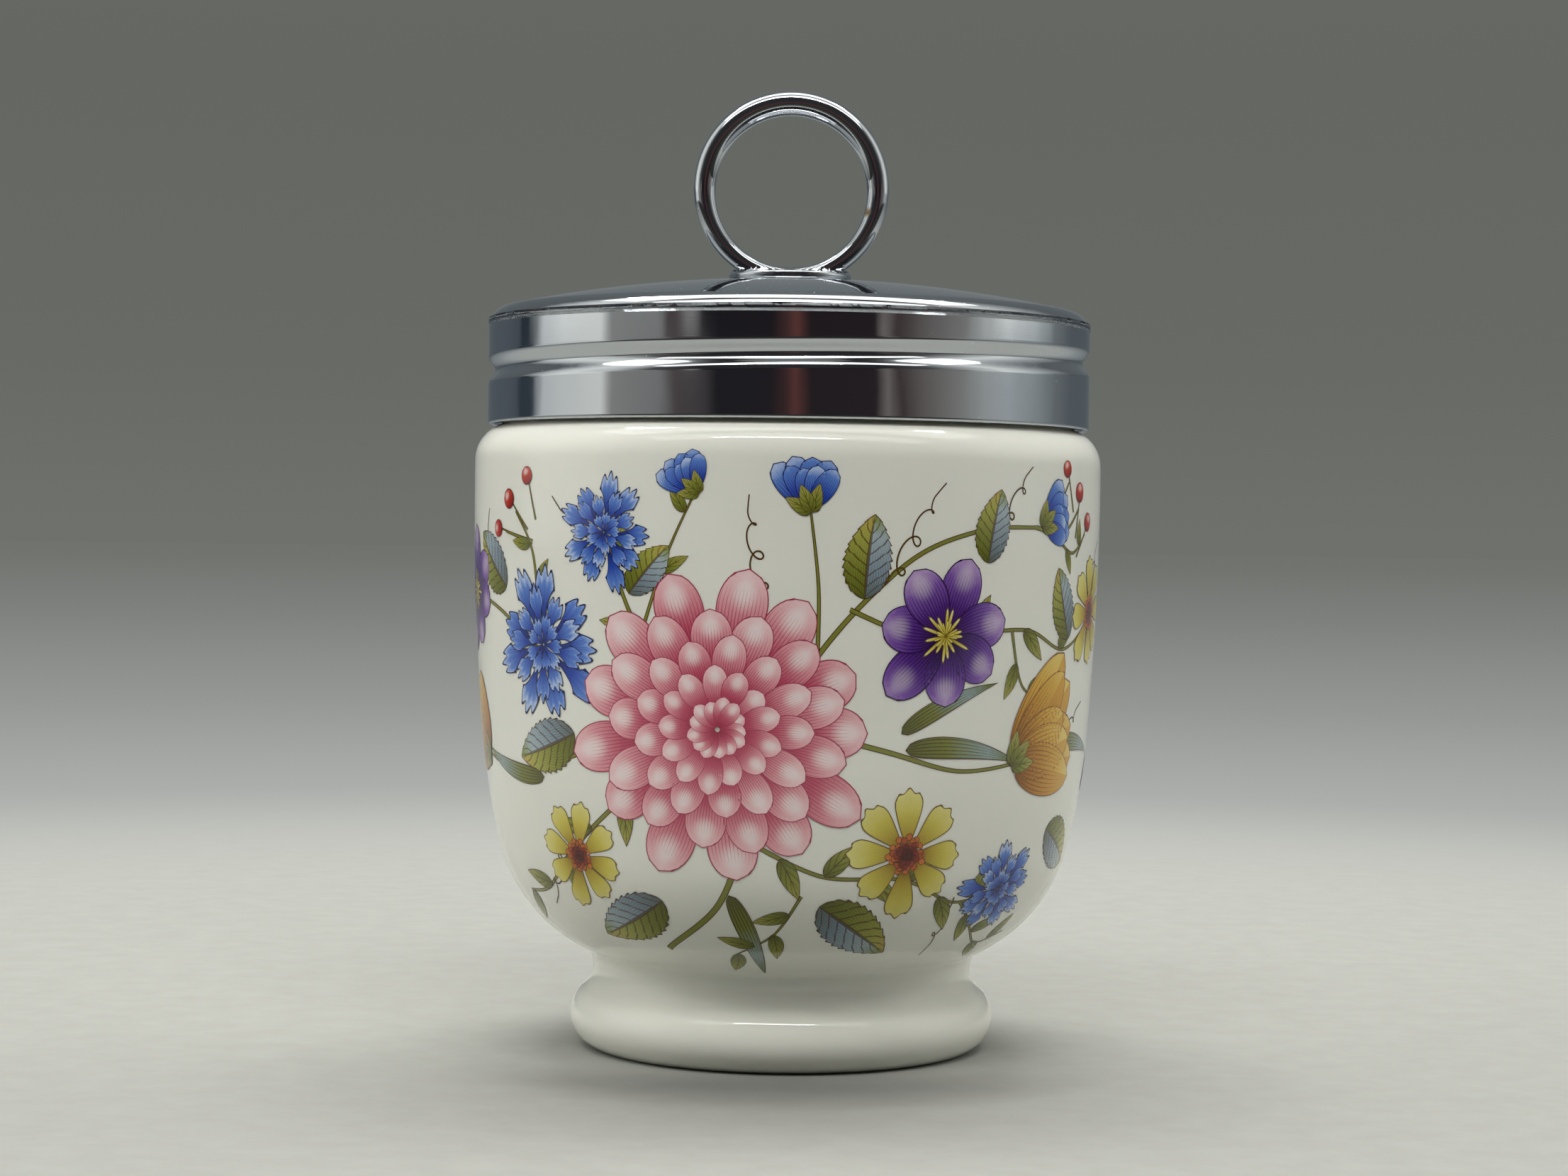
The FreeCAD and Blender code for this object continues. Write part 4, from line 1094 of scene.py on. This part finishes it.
berry_ink = ink("red enamel", [(0.0, "6c1616"), (0.5, "b23426"), (1.0, "d8583c")],
                "4c1210", pen=(1.0, 0.0, 1.0), pale=0.6, rim=0.09)
stem_ink = ink("stem enamel", [(0.0, "6e6c28"), (0.5, "868a3c"), (1.0, "8f8a48")],
               BROWN_LINE, pen=(1.0, 0.0, 1.0), rim=0.1)

draw_lines("print_stems", [(points, widths, 0.0002 * i)
                           for i, (widths, points) in enumerate(strokes)], stem_ink)
set_out("print_broad_leaves", petal(9.6, 3.1, saw_edged, bend=0.9, columns=12, rows=66),
        at_layer("broad_leaf", 0.022), leaf_inks, petals=1)
set_out("print_small_leaves", petal(5.2, 1.1, swell(0.6, 1.0), bend=0.7, rows=16),
        at_layer("small_leaf", 0.02), leaf_ink, petals=1)
set_out("print_sepals", petal(5.0, 1.3, swell(0.45, 0.9)),
        at_layer("sepal", 0.05, 0.0002), leaf_ink, petals=1)
set_out("print_blades", petal(13.0, 1.1, swell(0.45, 1.0), bend=3.2, rows=26),
        at_layer("blade", 0.018), blade_ink, petals=1)
set_out("print_dahlias", petal(7.6, 2.3, swell(0.75, 0.55), rows=14),
        at_layer("dahlia", 0.036, 0.0), rose_ink, petals=13, rings=5, outer_reach=6.4,
        inner_reach=0.2, inner_size=0.34, unevenness=0.12, layer=0.0004, seed=4)
set_out("print_cornflowers",
        petal(3.3, 1.15, lambda v: 0.15 + 0.85 * v ** 1.5, columns=20,
              tip=lambda u: 0.3 * abs(math.cos(u * 4.7)) - 0.3 * u * u),
        at_layer("cornflower", 0.036), blue_ink, petals=9, rings=3, outer_reach=1.7,
        inner_reach=0.1, inner_size=0.5, unevenness=0.16, layer=0.0004, seed=9)
set_out("print_bells", petal(5.2, 1.35, swell(0.55, 0.45)),
        at_layer("bell", 0.036), blue_ink, petals=4, rings=2, inner_size=0.8, spread=1.5,
        turn=-0.62, unevenness=0.1, layer=0.0005, seed=3)
set_out("print_coreopsis",
        petal(4.6, 1.75, lambda v: 0.1 + 0.9 * v ** 0.8 - 0.35 * v ** 6, columns=16,
              tip=lambda u: 0.05 * math.cos(u * 6.3) - 0.16 * u ** 4),
        at_layer("coreopsis", 0.03), yellow_ink, petals=8, outer_reach=0.9,
        unevenness=0.1, layer=0.0005, seed=2)
set_out("print_eyes", petal(0.62, 0.32, swell(0.5, 0.5), columns=4, rows=5),
        at_layer("coreopsis", 0.037), eye_ink, petals=12, rings=5, outer_reach=1.25,
        inner_reach=0.0, unevenness=0.3, layer=0.0002, seed=6)
set_out("print_clematis", petal(6.2, 2.05, swell(0.7, 0.55), rows=14),
        at_layer("clematis", 0.032), purple_ink, petals=7, outer_reach=0.5,
        unevenness=0.12, layer=0.0006, seed=5)
set_out("print_stamens", petal(1.9, 0.16, swell(0.3, 0.3), columns=3, rows=6),
        at_layer("clematis", 0.042), stamen_ink, petals=15, rings=2, outer_reach=0.35,
        inner_reach=0.0, inner_size=0.6, unevenness=0.3, layer=0.0003, seed=8)
set_out("print_tulips", petal(10.0, 2.5, swell(0.5, 0.6), rows=16),
        at_layer("tulip", 0.034), ochre_ink, petals=4, rings=2, inner_size=0.86,
        spread=1.25, turn=-0.47, unevenness=0.12, layer=0.0007, seed=12)
set_out("print_berries", petal(2.0, 0.98, swell(0.5, 0.5)),
        at_layer("berry", 0.03), berry_ink, petals=1)
bpy.data.objects.remove(bowl_line)

# ============================================================ lid
# Pressed from thin brass sheet and chrome plated: a low spherical top, a rounded corner
# and a straight wall, with one turn of thread rolled in from outside.
LID_RADIUS, LID_WALL, LID_BOTTOM, LID_FILLET = 31.15, 0.45, 64.0, 2.0
DOME_CURVE, DOME_CENTRE, LID_TOP = 138.0, -58.7208, 79.2792
GROOVE_DEPTH, GROOVE_HALF_WIDTH, GROOVE_START, GROOVE_ANGLE = 0.68, 1.45, 69.2, 150 / 360
GROOVE_RUN_OUT = 0.105         # in turns
ROLLED_FROM, ROLLED_TO = 67.3, 74.6      # the wall's fine steps, for the groove
SHANK_HOLE = 1.85

dome = (0.0, DOME_CENTRE)
corner_x = LID_RADIUS - LID_FILLET
lid_corner = (corner_x, DOME_CENTRE + math.sqrt((DOME_CURVE - LID_FILLET) ** 2
                                                - corner_x ** 2))
crown = angle_to(dome, lid_corner)
lid_inside = LID_RADIUS - LID_WALL
edge = LID_WALL / 2
hole_angle = math.acos(SHANK_HOLE / DOME_CURVE)
lid_outline = (
    arc((LID_RADIUS - edge, LID_BOTTOM + edge), edge, -math.pi, 0, 0.12)
    + line((LID_RADIUS, LID_BOTTOM + 0.4), (LID_RADIUS, ROLLED_FROM - 0.1), 0.5)
    + line((LID_RADIUS, ROLLED_FROM), (LID_RADIUS, ROLLED_TO), 0.14)
    + line((LID_RADIUS, ROLLED_TO + 0.3), (LID_RADIUS, lid_corner[1]), 0.4)
    + arc(lid_corner, LID_FILLET, 0, crown, 0.16)
    + arc(dome, DOME_CURVE, crown, hole_angle, 1.0)
    + arc(dome, DOME_CURVE - LID_WALL, hole_angle, crown, 2.0)
    + arc(lid_corner, LID_FILLET - LID_WALL, crown, 0, 0.4)
    + line((lid_inside, ROLLED_TO), (lid_inside, ROLLED_FROM), 0.25)
    + line((lid_inside, ROLLED_FROM - 0.3), (lid_inside, LID_BOTTOM + edge), 1.2))
lid_outline.append(lid_outline[0])


def plated(name, colour, low, high, depth=1.0, stain=None):
    """Bright chrome plate over polished brass: a cool mirror that shows fine polishing
    lines, light scratches and specks of dust, and is duller where it was handled."""
    material, tree = new_material(name)
    place = add(tree, "ShaderNodeTexCoord").outputs["Object"]
    # Round the axis: direction, height and distance, so that polishing lines run round.
    apart = add(tree, "ShaderNodeSeparateXYZ", {0: place})
    direction = add(tree, MATH, {0: apart.outputs["Y"], 1: apart.outputs["X"]},
                    operation="ARCTAN2")
    flat = add(tree, "ShaderNodeVectorMath", {0: place, 1: (1, 1, 0)}, operation="MULTIPLY")
    radius = add(tree, "ShaderNodeVectorMath", {0: flat}, operation="LENGTH")
    round_it = add(tree, "ShaderNodeCombineXYZ", {0: direction, 1: apart.outputs["Z"],
                                                  2: radius.outputs["Value"]})
    # Lines 0.12 mm apart that run some 15 mm round.
    stretched = add(tree, "ShaderNodeVectorMath", {0: round_it, 1: (2.0, 8300, 8300)},
                    operation="MULTIPLY")
    lines = add(tree, "ShaderNodeTexNoise", {"Vector": stretched, "Scale": 1.0,
                                             "Detail": 3.0})
    # Wear marks a few millimetres wide.
    marks = add(tree, "ShaderNodeTexNoise", {"Vector": place, "Scale": 1 / (4 * MM),
                                             "Detail": 3.0, "Roughness": 0.6})
    gloss = add(tree, "ShaderNodeMapRange", {"Value": marks, "From Min": 0.35,
                                             "From Max": 0.75, "To Min": low,
                                             "To Max": high})
    # Dust, about 0.1 mm across.
    specks = add(tree, "ShaderNodeTexVoronoi", {"Vector": place, "Scale": 1 / (0.8 * MM)})
    dust = add(tree, "ShaderNodeMapRange", {"Value": specks.outputs["Distance"],
                                            "From Min": 0.13, "From Max": 0.05})
    # It lies on what faces up, and little of it clings to the sides.
    facing = add(tree, "ShaderNodeNewGeometry").outputs["Normal"]
    facing = add(tree, "ShaderNodeSeparateXYZ", {0: facing}).outputs["Z"]
    rare = add(tree, "ShaderNodeMapRange", {"Value": facing, "From Min": 0.2, "From Max": 0.9,
                                            "To Min": 0.93, "To Max": 0.6})
    picked = add(tree, "ShaderNodeSeparateColor", {0: specks.outputs["Color"]})
    picked = add(tree, MATH, {0: picked, 1: rare}, operation="GREATER_THAN")
    dust = add(tree, MATH, {0: dust, 1: picked}, operation="MULTIPLY")
    tone = add(tree, "ShaderNodeMix", {0: dust, 6: linear(colour), 7: linear("e6e6e2")},
               data_type="RGBA")
    if stain:
        # A spot where the plate has gone and the brass has tarnished.
        spot = add(tree, "ShaderNodeVectorMath", {0: place, 1: stain}, operation="DISTANCE")
        ragged = add(tree, MATH, {0: marks, 1: 1.6 * MM, 2: spot.outputs["Value"]},
                     operation="MULTIPLY_ADD")
        spot = add(tree, "ShaderNodeMapRange", {"Value": ragged, "From Min": 1.6 * MM,
                                                "From Max": 1.2 * MM, "To Max": 0.85})
        tone = add(tree, "ShaderNodeMix", {0: spot, 6: tone.outputs[2],
                                           7: linear("8a6a30")}, data_type="RGBA")
        dust = add(tree, MATH, {0: dust, 1: spot}, operation="MAXIMUM")
    dull = add(tree, MATH, {0: dust, 1: 0.5, 2: gloss}, operation="MULTIPLY_ADD")
    ridged = add(tree, "ShaderNodeBump", {"Height": lines, "Strength": 1.0,
                                          "Distance": 0.0004 * depth * MM})
    bumpy = add(tree, "ShaderNodeBump", {"Height": marks, "Strength": 1.0,
                                         "Distance": 0.0015 * depth * MM,
                                         "Normal": ridged})
    # Chromium grows less bright towards its edges than a plain mirror does.
    metal = add(tree, "ShaderNodeBsdfPrincipled", {
        "Base Color": tone.outputs[2], "Metallic": 1.0, "Roughness": dull,
        "Specular Tint": linear("dce2e8"), "Normal": bumpy})
    add(tree, "ShaderNodeOutputMaterial", {"Surface": metal})
    return material


lid = turned("lid_pressing", lid_outline, plated("chrome plate on the lid", "c4c8cc",
                                                 0.035, 0.085),
             thread_height=-GROOVE_DEPTH, thread_half_width=GROOVE_HALF_WIDTH,
             thread_pitch=PITCH, thread_start=GROOVE_START, thread_angle=GROOVE_ANGLE,
             thread_turns=1.0, thread_fade=GROOVE_RUN_OUT,
             thread_from_radius=LID_RADIUS - 1.25)
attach(lid, "lid")
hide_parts("lid_shell")

# ============================================================ finger ring
# A cast ring of round section, thicker at its crown, ground flat at the bottom and
# chrome plated with the lid. It stands across the lid so that a finger fits through it.
RING_RADIUS, CROWN_RADIUS, HEEL_RADIUS, RING_CENTRE = 9.0, 1.31, 0.97, 88.769
BOSS_RADIUS, BOSS_TOP = 6.35, 80.0392
FLAT_HEIGHT = LID_TOP + 0.1
RING_STEPS, SECTION_STEPS = 400, 72


def ring_section(angle):
    """The ring's own radius at a direction from its middle: most at its crown."""
    return ((CROWN_RADIUS + HEEL_RADIUS) / 2
            + (CROWN_RADIUS - HEEL_RADIUS) / 2 * math.sin(angle))


points, faces = [], []
for i in range(RING_STEPS):
    a = 2 * math.pi * i / RING_STEPS
    section = ring_section(a)
    for j in range(SECTION_STEPS):
        b = 2 * math.pi * j / SECTION_STEPS
        r = RING_RADIUS + section * math.cos(b)
        points.append((r * math.cos(a) * MM, -section * math.sin(b) * MM,
                       max(RING_CENTRE + r * math.sin(a), FLAT_HEIGHT) * MM))
        here, there = i * SECTION_STEPS, (i + 1) % RING_STEPS * SECTION_STEPS
        up = (j + 1) % SECTION_STEPS
        faces.append((here + j, there + j, there + up, here + up))
ring = plain_mesh("finger_hoop", points, faces,
                  plated("chrome plate on the ring", "c8ccd0", 0.045, 0.09, 0.35,
                         stain=(8.1 * MM, -0.6 * MM, 86.5 * MM)))
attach(ring, "lid")
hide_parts("finger_ring")

# ============================================================ boss
# A turned brass boss, riveted through the lid. Braze fills the corner between it and the
# ring, climbs a little up the ring's sides, and is plated over with the rest.
BRAZE_BLEND = 0.55
SHANK_RADIUS, RIVET_RADIUS, RIVET_TOP, RIVET_THICKNESS = 1.8, 3.4, 78.79, 0.9
BOSS_STEPS, BOSS_EDGE = 192, 0.32


def braze_height(x, y):
    """Top of the boss at a point, where it blends into the ring."""
    z = BOSS_TOP
    for step in range(40):
        a = math.atan2(z - RING_CENTRE, x)
        to_ring = (math.hypot(math.hypot(x, z - RING_CENTRE) - RING_RADIUS, y)
                   - ring_section(a))
        to_boss = z - BOSS_TOP
        h = max(0.0, BRAZE_BLEND - abs(to_ring - to_boss)) / BRAZE_BLEND
        if min(to_ring, to_boss) - h * h * BRAZE_BLEND / 4 > 0:
            break
        z += 0.02
    return z


def braze_lump(x, y):
    """What the braze adds each side, between the ring and the boss's edge."""
    return 0.42 * math.exp(-((abs(x) - 5.8) / 0.5) ** 4 - (y / 1.2) ** 2)


boss_base = DOME_CENTRE + math.sqrt(DOME_CURVE ** 2 - BOSS_RADIUS ** 2)
flat_radius = BOSS_RADIUS - BOSS_EDGE
levels = []
for r in np.linspace(0.25, flat_radius, 32):
    fade = min(1.0, 0.35 + (flat_radius - r) / 0.6)
    levels.append([(x, y, BOSS_TOP + (braze_height(x, y) - BOSS_TOP) * fade
                    + braze_lump(x, y)) for x, y, z in circle(r, 0, BOSS_STEPS)])
for b in np.linspace(math.pi / 2, 0, 9)[1:]:
    r, z = on_circle((flat_radius, BOSS_TOP - BOSS_EDGE), BOSS_EDGE, b)
    levels.append([(x, y, z + braze_lump(x, y) * math.sin(b))
                   for x, y, z in circle(r, z, BOSS_STEPS)])
half = RIVET_THICKNESS / 2
for r, z in [(BOSS_RADIUS, boss_base + 0.01), (RIVET_RADIUS, LID_TOP - 0.02),
             (SHANK_RADIUS, LID_TOP), (SHANK_RADIUS, RIVET_TOP), (RIVET_RADIUS, RIVET_TOP)
             ] + [on_circle((RIVET_RADIUS - half, RIVET_TOP - half), half, b)
                  for b in np.linspace(0, -math.pi / 2, 5)]:
    levels.append(circle(r, z, BOSS_STEPS))
points = [(0, 0, braze_height(0, 0))] + sum(levels, []) + [(0, 0, RIVET_TOP
                                                            - RIVET_THICKNESS)]
last = 1 + (len(levels) - 1) * BOSS_STEPS
faces = []
for i in range(BOSS_STEPS):
    n = (i + 1) % BOSS_STEPS
    faces.append((0, 1 + i, 1 + n))
    for a in range(1, last, BOSS_STEPS):
        b = a + BOSS_STEPS
        faces.append((a + i, b + i, b + n, a + n))
    faces.append((last + i, len(points) - 1, last + n))
boss = plain_mesh("boss_and_rivet", [(x * MM, y * MM, z * MM) for x, y, z in points], faces,
                  plated("chrome plate on the boss", "c4c8cc", 0.07, 0.14))
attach(boss, "lid")
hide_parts("ring_boss")

# ============================================================ sealing washer
# A flat washer stamped from black rubber sheet. It sits inside the lid and closes the
# cup's rim when the lid is screwed down.
SEAL_INNER, SEAL_OUTER, SEAL_TOP, SEAL_FILLET = 26.2, 29.0, 75.45, 0.12

# Rubber cured between plates: a dark grey more than a black, matt, with a fine skin.
rubber, tree = new_material("black rubber sheet")
place = add(tree, "ShaderNodeTexCoord")
skin = add(tree, "ShaderNodeTexNoise", {"Vector": place.outputs["Object"],
                                        "Scale": 1 / (0.4 * MM), "Detail": 4.0})
colour = add(tree, "ShaderNodeValToRGB", {0: skin}, stops=[(0.3, "26241f"), (0.7, "33312b")])
bumpy = add(tree, "ShaderNodeBump", {"Height": skin, "Strength": 1.0,
                                     "Distance": 0.02 * MM})
matt = add(tree, "ShaderNodeBsdfPrincipled", {"Base Color": colour, "Roughness": 0.62,
                                              "IOR": 1.52, "Normal": bumpy})
add(tree, "ShaderNodeOutputMaterial", {"Surface": matt})
seal_outline = []
for at, before, after in (
        ((SEAL_OUTER, RIM_HEIGHT), (SEAL_INNER, RIM_HEIGHT), (SEAL_OUTER, SEAL_TOP)),
        ((SEAL_OUTER, SEAL_TOP), (SEAL_OUTER, RIM_HEIGHT), (SEAL_INNER, SEAL_TOP)),
        ((SEAL_INNER, SEAL_TOP), (SEAL_OUTER, SEAL_TOP), (SEAL_INNER, RIM_HEIGHT)),
        ((SEAL_INNER, RIM_HEIGHT), (SEAL_INNER, SEAL_TOP), (SEAL_OUTER, RIM_HEIGHT))):
    seal_outline += corner(before, at, after, SEAL_FILLET, 4)
seal_outline.append(seal_outline[0])
seal = turned("rubber_washer", seal_outline, rubber, segments=192)
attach(seal, "seal")
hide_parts("lid_seal")
